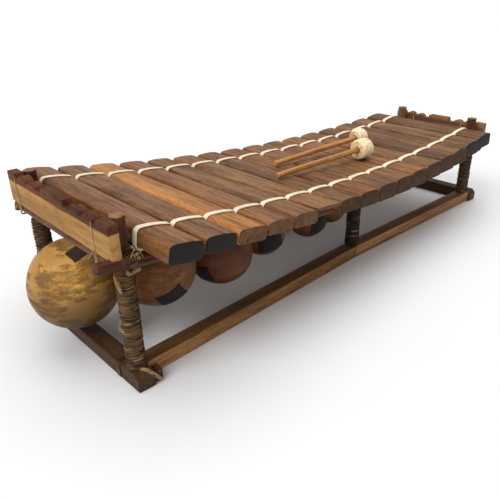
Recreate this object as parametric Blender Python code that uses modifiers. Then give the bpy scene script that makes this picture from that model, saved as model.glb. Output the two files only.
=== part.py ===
"""A West African frame xylophone (balafon) with gourd resonators and two mallets.

World frame, metres: +X runs along the keyboard from the long low bars to the
short high ones, +Y points to the back, +Z up. The bottom rails rest on z = 0.
"""

import math

import bmesh
import bpy
from mathutils import Matrix, Vector

# ---------------------------------------------------------------- keyboard
BAR_COUNT = 16
KEYBOARD_LENGTH = 0.900
BAR_GAP = 0.0058
BAR_HALF = 0.2100
BAR_FRONT_STEP = 0.0037
BAR_BACK_STEP = 0.0043
BAR_THICKNESS_MM = (27, 24, 23, 21, 22, 22, 24, 27, 29, 30, 31, 31, 32, 32, 30, 28)
BAR_EDGE_ROUND = 0.0050
THINNED_BAR = 5
THINNED_LENGTH = 0.075
THINNED_END_LEFT = 0.0065

SAG_LOW_X = 0.160
SAG_LOW_Z = 0.1747
SAG_CURVE = 0.146

# ------------------------------------------------------------------ lacing
LACING_Y_MID = 0.1148
LACING_TAPER = 0.0509
STRAP_WIDTH = 0.0060
STRAP_THICK = 0.0012
CORD_RADIUS = 0.0025
CORD_REACH = 0.40
GAP = 0.0003

# ------------------------------------------------------------------- frame
RAIL_H = 0.025
RAIL_W = 0.025
SIDE_RAIL_W = 0.027
LEFT_X = -0.4680
RIGHT_X = 0.5020
LEFT_RAIL_HALF = 0.155
RIGHT_RAIL_HALF = 0.118
FRONT_Y_LEFT = 0.1326
FRONT_Y_MID = 0.1053
MID_X = 0.050
POST_RADIUS = 0.0100
POST_LEFT = (-0.4660, 0.1280, 0.2476)
POST_MID = (MID_X, 0.0928, 0.1385)
POST_BACK_MID_HEIGHT = 0.1175
POST_RIGHT = (0.4750, 0.0928, 0.2030)
POLE_RADIUS = 0.0105
POLE_Y_MID = 0.1195
POLE_SPREAD = 0.0593
POLE_DROP = 0.0475
POLE_START = -0.5125
POLE_END = 0.5150
POLE_POINTS = 15
STICK_RADIUS = 0.0070

BOARD_THICK = 0.0150
BOARD_LEFT = (-0.4845, 0.1500, 0.1995)
BOARD_RIGHT = (0.4950, 0.1160, 0.1547)
BOARD_BODY_H = 0.0405
BOARD_TOP_H = 0.0120

WINDING_THICK = 0.0035
WINDING_RIPPLE = 0.0008
WINDING_FOOT = 0.0060

# ------------------------------------------------------------------ gourds
GOURD_WALL = 0.0030
GOURD_MOUTH = 0.62
GOURD_STEPS = 18
# centre x, y, z and radius, low end first; hung by eye, as on the real thing
BACK_GOURDS = (
    (-0.475, 0.010, 0.1030, 0.0660),
    (-0.335, 0.072, 0.1250, 0.0540),
    (-0.228, 0.072, 0.1180, 0.0460),
    (-0.133, 0.070, 0.1120, 0.0390),
    (-0.038, 0.068, 0.1100, 0.0340),
    (0.102, 0.066, 0.1100, 0.0300),
    (0.190, 0.062, 0.1120, 0.0265),
    (0.278, 0.060, 0.1160, 0.0235),
)
FRONT_GOURDS = (
    (-0.393, -0.082, 0.1355, 0.0590),
    (-0.274, -0.082, 0.1160, 0.0515),
    (-0.183, -0.082, 0.1205, 0.0385),
    (-0.072, -0.082, 0.1145, 0.0355),
    (0.001, -0.072, 0.1120, 0.0310),
    (0.105, -0.070, 0.1120, 0.0280),
    (0.200, -0.066, 0.1140, 0.0250),
    (0.290, -0.062, 0.1180, 0.0220),
)
FIRST_GOURD_TILT = math.radians(52.0)

# ----------------------------------------------------------------- mallets
STICK_R = 0.0055
HEAD_HOLE_DEPTH = 0.012
# tail x, y, head centre x, y, head radius, head length
MALLET_BACK = (-0.051, 0.0205, 0.193, 0.0140, 0.0170, 0.0270)
MALLET_FRONT = (-0.107, -0.0420, 0.121, -0.0500, 0.0190, 0.0310)

COLOURS = {
    "bar_wood": ((0.235, 0.105, 0.055), 0.45),
    "frame_wood": ((0.250, 0.130, 0.062), 0.55),
    "board_wood": ((0.460, 0.270, 0.110), 0.55),
    "gourd": ((0.400, 0.190, 0.055), 0.50),
    "lacing": ((0.850, 0.790, 0.660), 0.75),
    "twine": ((0.170, 0.125, 0.070), 0.80),
    "mallet_wood": ((0.480, 0.260, 0.110), 0.45),
    "mallet_rubber": ((0.780, 0.640, 0.430), 0.70),
}


def top_z(x):
    """Height of the keyboard's playing surface at x: a hanging, shallow sag."""
    return SAG_LOW_Z + SAG_CURVE * (x - SAG_LOW_X) ** 2


def top_slope(x):
    """Slope dz/dx of the playing surface at x."""
    return 2.0 * SAG_CURVE * (x - SAG_LOW_X)


def lacing_y(x):
    """Distance of either lacing line from the keyboard's middle at x."""
    return LACING_Y_MID - LACING_TAPER * x


def pole_y(x):
    """Distance of a side pole from the middle: it bends out past the middle post."""
    return POLE_Y_MID + POLE_SPREAD * max(0.0, MID_X - x)


def clear_scene():
    """Remove every object, so the script starts from nothing."""
    for obj in list(bpy.data.objects):
        bpy.data.objects.remove(obj, do_unlink=True)


def new_collection(name):
    """Link and return a fresh collection."""
    collection = bpy.data.collections.new(name)
    bpy.context.scene.collection.children.link(collection)
    return collection


def make_material(name):
    """A plain Principled material in the part's colour."""
    colour, roughness = COLOURS[name]
    material = bpy.data.materials.new(name)
    material.use_nodes = True
    shader = material.node_tree.nodes["Principled BSDF"]
    shader.inputs["Base Color"].default_value = (*colour, 1.0)
    shader.inputs["Roughness"].default_value = roughness
    shader.inputs["Metallic"].default_value = 0.0
    return material


def move_to(obj, collection):
    """Keep the object in one collection only."""
    for owner in list(obj.users_collection):
        owner.objects.unlink(obj)
    collection.objects.link(obj)


def finish(obj, name, material_name, smooth=True):
    """Name the object, dress it and shade its round faces."""
    obj.name = name
    obj.data.name = name
    obj.data.materials.clear()
    obj.data.materials.append(MATERIALS[material_name])
    move_to(obj, PARTS)
    if smooth and obj.type == "MESH":
        obj.data.shade_smooth()
        obj.data.set_sharp_from_angle(angle=math.radians(35.0))
    return obj


def apply_modifiers(obj):
    """Replace the object's mesh by its evaluated one."""
    depsgraph = bpy.context.evaluated_depsgraph_get()
    mesh = bpy.data.meshes.new_from_object(obj.evaluated_get(depsgraph))
    obj.modifiers.clear()
    obj.data = mesh
    return obj


def box(size, centre, rotation=(0.0, 0.0, 0.0)):
    """An axis box primitive with its scale applied."""
    bpy.ops.mesh.primitive_cube_add(size=1.0, location=centre, rotation=rotation)
    obj = bpy.context.active_object
    obj.data.transform(Matrix.Diagonal((*size, 1.0)))
    return obj


def bevel(obj, width, segments, edges=None):
    """Round the edges that lie along the object's own Y, or all of them."""
    mesh = bmesh.new()
    mesh.from_mesh(obj.data)
    chosen = list(mesh.edges)
    if edges == "along_y":
        chosen = [e for e in mesh.edges if abs((e.verts[0].co - e.verts[1].co).normalized().y) > 0.9]
    bmesh.ops.bevel(mesh, geom=chosen, offset=width, segments=segments, profile=0.5, affect="EDGES")
    mesh.to_mesh(obj.data)
    mesh.free()
    return obj


def cylinder(radius, start, end, sides):
    """A closed cylinder between two points."""
    start = Vector(start)
    axis = Vector(end) - start
    bpy.ops.mesh.primitive_cylinder_add(vertices=sides, radius=radius, depth=axis.length)
    obj = bpy.context.active_object
    obj.location = start + axis / 2.0
    obj.rotation_euler = axis.to_track_quat("Z", "Y").to_euler()
    return obj


def cut(obj, cutter):
    """Subtract the cutter with an exact Boolean and keep it as a hidden wire object."""
    modifier = obj.modifiers.new("cut", "BOOLEAN")
    modifier.operation = "DIFFERENCE"
    modifier.solver = "EXACT"
    modifier.object = cutter
    move_to(cutter, CUTTERS)
    cutter.hide_render = True
    cutter.display_type = "WIRE"
    bpy.context.view_layer.update()
    return apply_modifiers(obj)


def unite(obj, others):
    """Union the others into the object and drop them."""
    for other in others:
        modifier = obj.modifiers.new("unite", "BOOLEAN")
        modifier.operation = "UNION"
        modifier.solver = "EXACT"
        modifier.object = other
    bpy.context.view_layer.update()
    apply_modifiers(obj)
    for other in others:
        bpy.data.objects.remove(other, do_unlink=True)
    return obj


def tube(points, radius, resolution):
    """A capped tube through the points, as a mesh with welded caps."""
    data = bpy.data.curves.new("tube", "CURVE")
    data.dimensions = "3D"
    data.bevel_depth = radius
    data.bevel_resolution = resolution
    data.use_fill_caps = True
    spline = data.splines.new("POLY")
    spline.points.add(len(points) - 1)
    for slot, point in zip(spline.points, points):
        slot.co = (*point, 1.0)
    curve = bpy.data.objects.new("tube", data)
    PARTS.objects.link(curve)
    bpy.context.view_layer.update()
    depsgraph = bpy.context.evaluated_depsgraph_get()
    mesh = bpy.data.meshes.new_from_object(curve.evaluated_get(depsgraph))
    welder = bmesh.new()
    welder.from_mesh(mesh)
    bmesh.ops.remove_doubles(welder, verts=welder.verts, dist=0.00005)
    welder.to_mesh(mesh)
    welder.free()
    obj = bpy.data.objects.new("tube_mesh", mesh)
    obj.matrix_world = curve.matrix_world.copy()
    PARTS.objects.link(obj)
    bpy.data.objects.remove(curve, do_unlink=True)
    return obj


def turned(profile, steps):
    """A closed solid of revolution about Z from (radius, z) points, outer side first."""
    mesh = bpy.data.meshes.new("profile")
    edges = [(i, i + 1) for i in range(len(profile) - 1)]
    if profile[0][0] > 0.0:
        edges.append((len(profile) - 1, 0))
    mesh.from_pydata([(r, 0.0, z) for r, z in profile], edges, [])
    obj = bpy.data.objects.new("turned", mesh)
    PARTS.objects.link(obj)
    screw = obj.modifiers.new("screw", "SCREW")
    screw.steps = steps
    screw.render_steps = steps
    screw.use_merge_vertices = True
    screw.merge_threshold = 0.00005
    bpy.context.view_layer.update()
    apply_modifiers(obj)
    cleaner = bmesh.new()
    cleaner.from_mesh(obj.data)
    bmesh.ops.recalc_face_normals(cleaner, faces=cleaner.faces)
    cleaner.to_mesh(obj.data)
    cleaner.free()
    return obj


# ---------------------------------------------------------------- keyboard
PITCH = KEYBOARD_LENGTH / BAR_COUNT
BAR_WIDTH = PITCH - BAR_GAP


def bar_centre_x(index):
    """X of a bar's middle line, bar 0 at the low end."""
    return -KEYBOARD_LENGTH / 2.0 + (index + 0.5) * PITCH


def bar_thickness(index):
    """Thickness of one bar, tuned one by one."""
    return BAR_THICKNESS_MM[index] / 1000.0


def bar_frame(index):
    """World matrix of a bar: origin in the middle of its section, tilted along the sag."""
    x = bar_centre_x(index)
    tilt = Matrix.Rotation(-math.atan(top_slope(x)), 4, "Y")
    return Matrix.Translation((x, 0.0, top_z(x))) @ tilt @ Matrix.Translation((0.0, 0.0, -bar_thickness(index) / 2.0))


def build_bar(index):
    """One wooden bar with rounded long edges."""
    front = BAR_HALF - BAR_FRONT_STEP * index
    back = BAR_HALF - BAR_BACK_STEP * index
    thick = bar_thickness(index)
    bar = box((BAR_WIDTH, front + back, thick), (0.0, 0.0, 0.0))
    bevel(bar, BAR_EDGE_ROUND, 2, "along_y")
    bar.data.transform(Matrix.Translation((0.0, (back - front) / 2.0, 0.0)))
    if index == THINNED_BAR:
        drop = thick - THINNED_END_LEFT
        angle = math.atan2(drop, THINNED_LENGTH)
        wedge = box((2.0 * BAR_WIDTH, 4.0 * THINNED_LENGTH, thick), (0.0, 0.0, 0.0))
        wedge.matrix_world = (
            Matrix.Translation((0.0, THINNED_LENGTH - front, -thick / 2.0))
            @ Matrix.Rotation(-angle, 4, "X")
            @ Matrix.Translation((0.0, 0.0, -thick / 2.0))
        )
        bpy.context.view_layer.update()
        cut(bar, wedge)
        wedge.name = "bar_thinning_cutter"
    bar.matrix_world = bar_frame(index)
    return finish(bar, f"bar_{index + 1:02d}", "bar_wood")


def build_loop(index, side):
    """One flat cord loop round a bar, as a closed strap."""
    thick = bar_thickness(index)
    outer = GAP + STRAP_THICK
    loop = box((BAR_WIDTH + 2 * outer, STRAP_WIDTH, thick + 2 * outer), (0.0, 0.0, 0.0))
    bevel(loop, BAR_EDGE_ROUND + outer, 2, "along_y")
    hole = box((BAR_WIDTH + 2 * GAP, 4 * STRAP_WIDTH, thick + 2 * GAP), (0.0, 0.0, 0.0))
    bevel(hole, BAR_EDGE_ROUND + GAP, 2, "along_y")
    cut(loop, hole)
    bpy.data.objects.remove(hole, do_unlink=True)
    place = Matrix.Translation((0.0, side * lacing_y(bar_centre_x(index)), 0.0))
    loop.matrix_world = bar_frame(index) @ place
    return loop


def suspension_route(side):
    """Points of the cord that the bars hang on, from one cross stick to the other."""
    left_post_x, left_post_y, _ = POST_LEFT
    right_post_x, right_post_y, _ = POST_RIGHT
    inner = POST_RADIUS + CORD_RADIUS + 0.0035
    route = []
    for index in range(BAR_COUNT):
        below = -bar_thickness(index) / 2.0 - GAP - STRAP_THICK / 2.0 - CORD_RADIUS
        for reach in (-CORD_REACH, CORD_REACH):
            point = bar_frame(index) @ Vector((reach * BAR_WIDTH, 0.0, below))
            route.append(Vector((point.x, side * lacing_y(point.x), point.z)))
    first = route[0]
    last = route[-1]
    stick_left = BOARD_LEFT[0] + STICK_RADIUS + GAP
    stick_right = BOARD_RIGHT[0] - STICK_RADIUS - GAP
    level_left = BOARD_LEFT[2] - STICK_RADIUS
    level_right = BOARD_RIGHT[2] - STICK_RADIUS
    head = [
        Vector((stick_left, side * (left_post_y - inner - 0.001), level_left)),
        Vector((left_post_x, side * (left_post_y - inner), level_left)),
        Vector((left_post_x + inner, side * (left_post_y - 0.006), first.z)),
    ]
    tail = [
        Vector((right_post_x - inner, side * (right_post_y - 0.006), last.z)),
        Vector((right_post_x, side * (right_post_y - inner), (last.z + level_right) / 2)),
        Vector((stick_right, side * (right_post_y - inner - 0.001), level_right)),
    ]
    return head + route + tail


def build_lacing(side, name):
    """A line of loops, one round each bar, all on one suspension cord."""
    cord = tube(suspension_route(side), CORD_RADIUS, 1)
    loops = [build_loop(index, side) for index in range(BAR_COUNT)]
    unite(cord, loops)
    return finish(cord, name, "lacing")


# ------------------------------------------------------------------- frame
def drill(obj, x, y):
    """Bore a post hole straight down through a bottom rail."""
    bore = cylinder(POST_RADIUS + GAP, (x, y, -0.01), (x, y, RAIL_H + 0.01), 20)
    bpy.context.view_layer.update()
    cut(obj, bore)
    bpy.data.objects.remove(bore, do_unlink=True)


def build_end_rail(name, x, half, posts):
    """A bottom rail across one end, bored for the posts that stand in it."""
    rail = box((SIDE_RAIL_W, 2 * half, RAIL_H), (x, 0.0, RAIL_H / 2))
    bevel(rail, 0.002, 1, "along_y")
    for px, py in posts:
        drill(rail, px, py)
    return finish(rail, name, "frame_wood", smooth=False)


def build_long_rail(name, start, end, posts):
    """A bottom rail between two plan points on its centre line."""
    start = Vector((*start, RAIL_H / 2))
    end = Vector((*end, RAIL_H / 2))
    along = end - start
    rail = box((along.length, RAIL_W, RAIL_H), (start + end) / 2, (0.0, 0.0, math.atan2(along.y, along.x)))
    bpy.context.view_layer.update()
    for px, py in posts:
        drill(rail, px, py)
    return finish(rail, name, "frame_wood", smooth=False)


def build_bottom_frame():
    """Left and right end rails, two front rails butted at the middle post, one back rail."""
    left_x, left_y, _ = POST_LEFT
    mid_x, mid_y, _ = POST_MID
    right_x, right_y, _ = POST_RIGHT
    inner_left = LEFT_X + SIDE_RAIL_W / 2 + 2 * GAP
    inner_right = RIGHT_X - SIDE_RAIL_W / 2 - 2 * GAP
    outer_left = FRONT_Y_LEFT - RAIL_W / 2
    outer_mid = FRONT_Y_MID - RAIL_W / 2
    build_end_rail("bottom_rail_left", LEFT_X, LEFT_RAIL_HALF, [(left_x, left_y), (left_x, -left_y)])
    build_end_rail("bottom_rail_right", RIGHT_X, RIGHT_RAIL_HALF, [])
    build_long_rail(
        "bottom_rail_front_left",
        (inner_left + 0.0012, -outer_left),
        (MID_X - 0.0012, -outer_mid),
        [(mid_x, -mid_y)],
    )
    build_long_rail(
        "bottom_rail_front_right",
        (MID_X + GAP, -outer_mid),
        (inner_right, -outer_mid),
        [(mid_x, -mid_y), (right_x, -right_y)],
    )
    back_mid_y = back_rail_y(mid_x)
    build_long_rail(
        "bottom_rail_back",
        (inner_left + 0.0012, outer_left),
        (inner_right - 0.0012, outer_mid),
        [(mid_x, back_mid_y), (right_x, right_y + 0.0006)],
    )


def back_rail_y(x):
    """Centre line of the one-piece back rail."""
    start = LEFT_X + SIDE_RAIL_W / 2
    end = RIGHT_X - SIDE_RAIL_W / 2
    share = (x - start) / (end - start)
    return FRONT_Y_LEFT - RAIL_W / 2 + share * (FRONT_Y_MID - FRONT_Y_LEFT)


def build_post(name, x, y, height):
    """A round post with a slightly broken top edge, standing through its rail to the floor."""
    post = cylinder(POST_RADIUS, (x, y, 0.0006), (x, y, height), 20)
    shaper = bmesh.new()
    shaper.from_mesh(post.data)
    rim = [e for e in shaper.edges if min(v.co.z for v in e.verts) > 0.0 and len(e.link_faces) == 2
           and any(len(f.verts) > 4 for f in e.link_faces)]
    bmesh.ops.bevel(shaper, geom=rim, offset=0.0008, segments=1, affect="EDGES")
    shaper.to_mesh(post.data)
    shaper.free()
    return finish(post, name, "frame_wood")


def build_posts():
    """Six posts: a pair at each end and a pair at the middle."""
    for side, row in ((-1.0, "front"), (1.0, "back")):
        x, y, height = POST_LEFT
        build_post(f"post_{row}_left", x, side * y, height)
        x, y, height = POST_MID
        if side < 0:
            build_post(f"post_{row}_middle", x, -y, height)
        else:
            build_post(f"post_{row}_middle", x, back_rail_y(x), POST_BACK_MID_HEIGHT)
        x, y, height = POST_RIGHT
        build_post(f"post_{row}_right", x, -y if side < 0 else y + 0.0006, height)


def build_winding(name, x, y, top, radius_gain=0.0):
    """Waxed twine wound round a post, wider where it grips the rail at the foot."""
    bottom = RAIL_H + GAP
    inner = POST_RADIUS + GAP
    outer = POST_RADIUS + WINDING_THICK + radius_gain
    turns = 7
    step = (top - bottom - WINDING_FOOT) / turns
    profile = [(inner, top), (outer - 0.001, top)]
    for turn in range(turns):
        ripple = WINDING_RIPPLE if turn % 2 else -WINDING_RIPPLE
        profile.append((outer + ripple, top - step * (turn + 0.5)))
    profile.append((outer + 0.0025, bottom + WINDING_FOOT * 0.6))
    profile.append((outer + 0.0025, bottom))
    profile.append((inner, bottom))
    winding = turned(profile, 16)
    winding.location = (x, y, 0.0)
    return finish(winding, name, "twine")


def build_windings():
    """The windings of the five posts that can be seen."""
    left_x, left_y, _ = POST_LEFT
    mid_x, mid_y, _ = POST_MID
    right_x, right_y, _ = POST_RIGHT
    build_winding("winding_front_left", left_x, -left_y, 0.1700)
    build_winding("winding_back_left", left_x, left_y, 0.1700)
    build_winding("winding_front_middle", mid_x, -mid_y, 0.1250, -0.0004)
    build_winding("winding_front_right", right_x, -right_y, 0.1270, -0.0004)
    build_winding("winding_back_right", right_x, right_y + 0.0006, 0.1270, -0.0004)


def build_side_pole(side, name):
    """A bent pole under the bars' edge, following the sag of the keyboard."""
    span = POLE_END - POLE_START
    points = []
    for step in range(POLE_POINTS):
        x = POLE_START + span * step / (POLE_POINTS - 1)
        points.append(Vector((x, side * pole_y(x), top_z(x) - POLE_DROP)))
    return finish(tube(points, POLE_RADIUS, 1), name, "frame_wood")


def build_cross_stick(name, board, z):
    """A round stick under an end board, between the two side poles."""
    x = board[0]
    reach = pole_y(x) - POLE_RADIUS - 2 * GAP
    stick = cylinder(STICK_RADIUS, (x, -reach, z), (x, reach, z), 14)
    return finish(stick, name, "frame_wood")


def board_outline(half):
    """Half the carved top edge, from the middle out: (y, height above the body)."""
    high = BOARD_TOP_H
    low = 0.30 * BOARD_TOP_H
    points = [(0.20 * half, high), (0.23 * half, low), (0.31 * half, low)]
    for step in range(5):
        angle = math.pi * (1.0 - step / 4.0)
        points.append((half * (0.44 + 0.09 * math.cos(angle)), low + 0.75 * (high - low) * math.sin(angle)))
    for step in range(5):
        angle = math.pi * (1.0 - step / 4.0)
        points.append((half * (0.66 + 0.09 * math.cos(angle)), low + (high - low) * math.sin(angle)))
    points += [(0.80 * half, low), (0.82 * half, high * 0.9), (half, high * 0.9)]
    return points


def build_board(name, place):
    """An end board: straight below, carved into blocks and humps along its top."""
    x, half, bottom = place
    body = bottom + BOARD_BODY_H - BOARD_TOP_H * 0.3
    right = [(y, body + rise) for y, rise in board_outline(half)]
    left = [(-y, z) for y, z in reversed(right)]
    outline = [(-half, bottom)] + left + right + [(half, bottom)]
    data = bpy.data.curves.new(name, "CURVE")
    data.dimensions = "2D"
    data.fill_mode = "BOTH"
    data.extrude = BOARD_THICK / 2
    spline = data.splines.new("POLY")
    spline.points.add(len(outline) - 1)
    for slot, (y, z) in zip(spline.points, outline):
        slot.co = (y, z, 0.0, 1.0)
    spline.use_cyclic_u = True
    board = bpy.data.objects.new(name, data)
    PARTS.objects.link(board)
    board.matrix_world = Matrix(((0, 0, 1, x), (1, 0, 0, 0), (0, 1, 0, 0), (0, 0, 0, 1)))
    data.materials.append(MATERIALS["board_wood"])
    return board


# ------------------------------------------------------------------ gourds
def gourd_profile(radius):
    """Outer skin from the mouth down to the base, then the inner skin back up."""
    mouth_angle = math.asin(GOURD_MOUTH)
    outer = []
    segments = 6
    for step in range(segments + 1):
        angle = mouth_angle + (math.pi - mouth_angle) * step / segments
        outer.append((radius * math.sin(angle), radius * math.cos(angle) * 0.97))
    outer[-1] = (0.0, outer[-1][1])
    inner_radius = radius - GOURD_WALL
    inner = []
    for step in range(segments + 1):
        angle = math.pi - (math.pi - mouth_angle) * step / segments
        inner.append((inner_radius * math.sin(angle), inner_radius * math.cos(angle) * 0.97))
    inner[0] = (0.0, inner[0][1])
    return outer, inner


def build_gourd(name, place, tilt):
    """An open-mouthed hollow gourd."""
    x, y, z, radius = place
    outer, inner = gourd_profile(radius)
    profile = list(reversed(outer)) + list(reversed(inner))
    gourd = turned(profile, GOURD_STEPS)
    gourd.location = (x, y, z)
    gourd.rotation_euler = (0.0, tilt, 0.0)
    return finish(gourd, name, "gourd")


def build_gourds():
    """Two staggered rows of gourds, numbered along each row from the low end."""
    for number, place in enumerate(BACK_GOURDS):
        tilt = FIRST_GOURD_TILT if number == 0 else 0.0
        build_gourd(f"gourd_back_{number + 1}", place, tilt)
    for number, place in enumerate(FRONT_GOURDS):
        build_gourd(f"gourd_front_{number + 1}", place, 0.0)


# ----------------------------------------------------------------- mallets
def build_mallet(name, shape):
    """A round stick and a wound rubber head bored to sit on its end."""
    tail_x, tail_y, head_x, head_y, head_r, head_len = shape
    tail = Vector((tail_x, tail_y, top_z(tail_x) + STICK_R + 0.0012))
    centre = Vector((head_x, head_y, top_z(head_x) + head_r + 0.0012))
    along = (centre - tail).normalized()
    stick = cylinder(STICK_R, tail, centre + along * (HEAD_HOLE_DEPTH - head_len / 2), 14)
    finish(stick, f"{name}_stick", "mallet_wood")
    corner = 0.006
    half = head_len / 2
    inner = STICK_R + GAP
    floor = -half + HEAD_HOLE_DEPTH + GAP
    profile = [
        (0.0, half),
        (head_r - corner, half),
        (head_r - 0.3 * corner, half - 0.3 * corner),
        (head_r, half - corner),
        (head_r, corner - half),
        (head_r - 0.3 * corner, 0.3 * corner - half),
        (head_r - corner, -half),
        (inner, -half),
        (inner, floor),
        (0.0, floor),
    ]
    head = turned(profile, 18)
    head.location = centre
    head.rotation_euler = along.to_track_quat("Z", "Y").to_euler()
    finish(head, f"{name}_head", "mallet_rubber")


def centre_on_origin():
    """Slide every piece along X, so that the origin is in the middle of the overall length."""
    bpy.context.view_layer.update()
    solids = [obj for obj in PARTS.objects if obj.type == "MESH"]
    ends = [(obj.matrix_world @ vertex.co).x for obj in solids for vertex in obj.data.vertices]
    shift = Matrix.Translation((-(min(ends) + max(ends)) / 2.0, 0.0, 0.0))
    for obj in PARTS.objects:
        obj.matrix_world = shift @ obj.matrix_world


def main():
    """Build the whole instrument."""
    for index in range(BAR_COUNT):
        build_bar(index)
    build_lacing(-1.0, "lacing_front")
    build_lacing(1.0, "lacing_back")
    build_bottom_frame()
    build_posts()
    build_windings()
    build_side_pole(-1.0, "side_pole_front")
    build_side_pole(1.0, "side_pole_back")
    build_cross_stick("cross_stick_left", BOARD_LEFT, BOARD_LEFT[2] - STICK_RADIUS - 2 * GAP)
    build_cross_stick("cross_stick_right", BOARD_RIGHT, BOARD_RIGHT[2] - STICK_RADIUS - 2 * GAP)
    build_board("end_board_left", BOARD_LEFT)
    build_board("end_board_right", BOARD_RIGHT)
    build_gourds()
    build_mallet("mallet_back", MALLET_BACK)
    build_mallet("mallet_front", MALLET_FRONT)
    centre_on_origin()


clear_scene()
PARTS = new_collection("xylophone")
CUTTERS = new_collection("cutters")
MATERIALS = {name: make_material(name) for name in COLOURS}
main()
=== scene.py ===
"""Finished look of a West African frame xylophone (balafon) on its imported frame.

Sixteen hewn bars hang in a shallow sag on two cord lacings, over a lashed wooden
frame and two rows of gourds, with a pair of wound rubber mallets lying on top.
"""

from __future__ import annotations

import logging
import math
import random
from dataclasses import dataclass, field
from enum import Enum
from typing import Any, Callable, Iterable, Sequence

import bmesh
import bpy
from mathutils import Matrix, Vector, noise


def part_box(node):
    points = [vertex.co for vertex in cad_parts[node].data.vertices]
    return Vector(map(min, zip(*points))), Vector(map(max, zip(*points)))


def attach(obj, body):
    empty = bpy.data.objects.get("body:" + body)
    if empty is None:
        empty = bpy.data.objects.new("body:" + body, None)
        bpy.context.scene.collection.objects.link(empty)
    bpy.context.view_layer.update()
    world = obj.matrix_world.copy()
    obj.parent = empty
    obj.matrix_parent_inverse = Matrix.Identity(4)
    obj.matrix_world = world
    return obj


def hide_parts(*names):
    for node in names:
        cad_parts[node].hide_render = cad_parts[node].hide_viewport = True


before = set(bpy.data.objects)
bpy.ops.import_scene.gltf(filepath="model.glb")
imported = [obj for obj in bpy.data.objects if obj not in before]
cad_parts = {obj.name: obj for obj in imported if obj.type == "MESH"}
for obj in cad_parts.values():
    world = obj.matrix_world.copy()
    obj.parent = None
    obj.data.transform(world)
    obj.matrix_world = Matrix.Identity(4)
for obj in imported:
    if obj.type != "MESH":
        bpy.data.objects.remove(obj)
LOG = logging.getLogger("xylophone")
Colour = tuple[float, float, float]
FRAME_BODY = "frame"
OBJECT_COORDS = "Object"


# ------------------------------------------------------------------ shaders
class Value:
    """A number socket that takes part in Python arithmetic."""

    def __init__(self, paint: "Paint", socket: Any) -> None:
        """Keep the socket and the tree it belongs to."""
        self.paint = paint
        self.socket = socket

    def __add__(self, other: Any) -> "Value":
        """Sum of two values."""
        return self.paint.maths("ADD", self, other)

    __radd__ = __add__

    def __mul__(self, other: Any) -> "Value":
        """Product of two values."""
        return self.paint.maths("MULTIPLY", self, other)

    __rmul__ = __mul__

    def __sub__(self, other: Any) -> "Value":
        """Difference of two values."""
        return self.paint.maths("SUBTRACT", self, other)

    def __rsub__(self, other: Any) -> "Value":
        """Difference with the value on the right."""
        return self.paint.maths("SUBTRACT", other, self)


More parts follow.
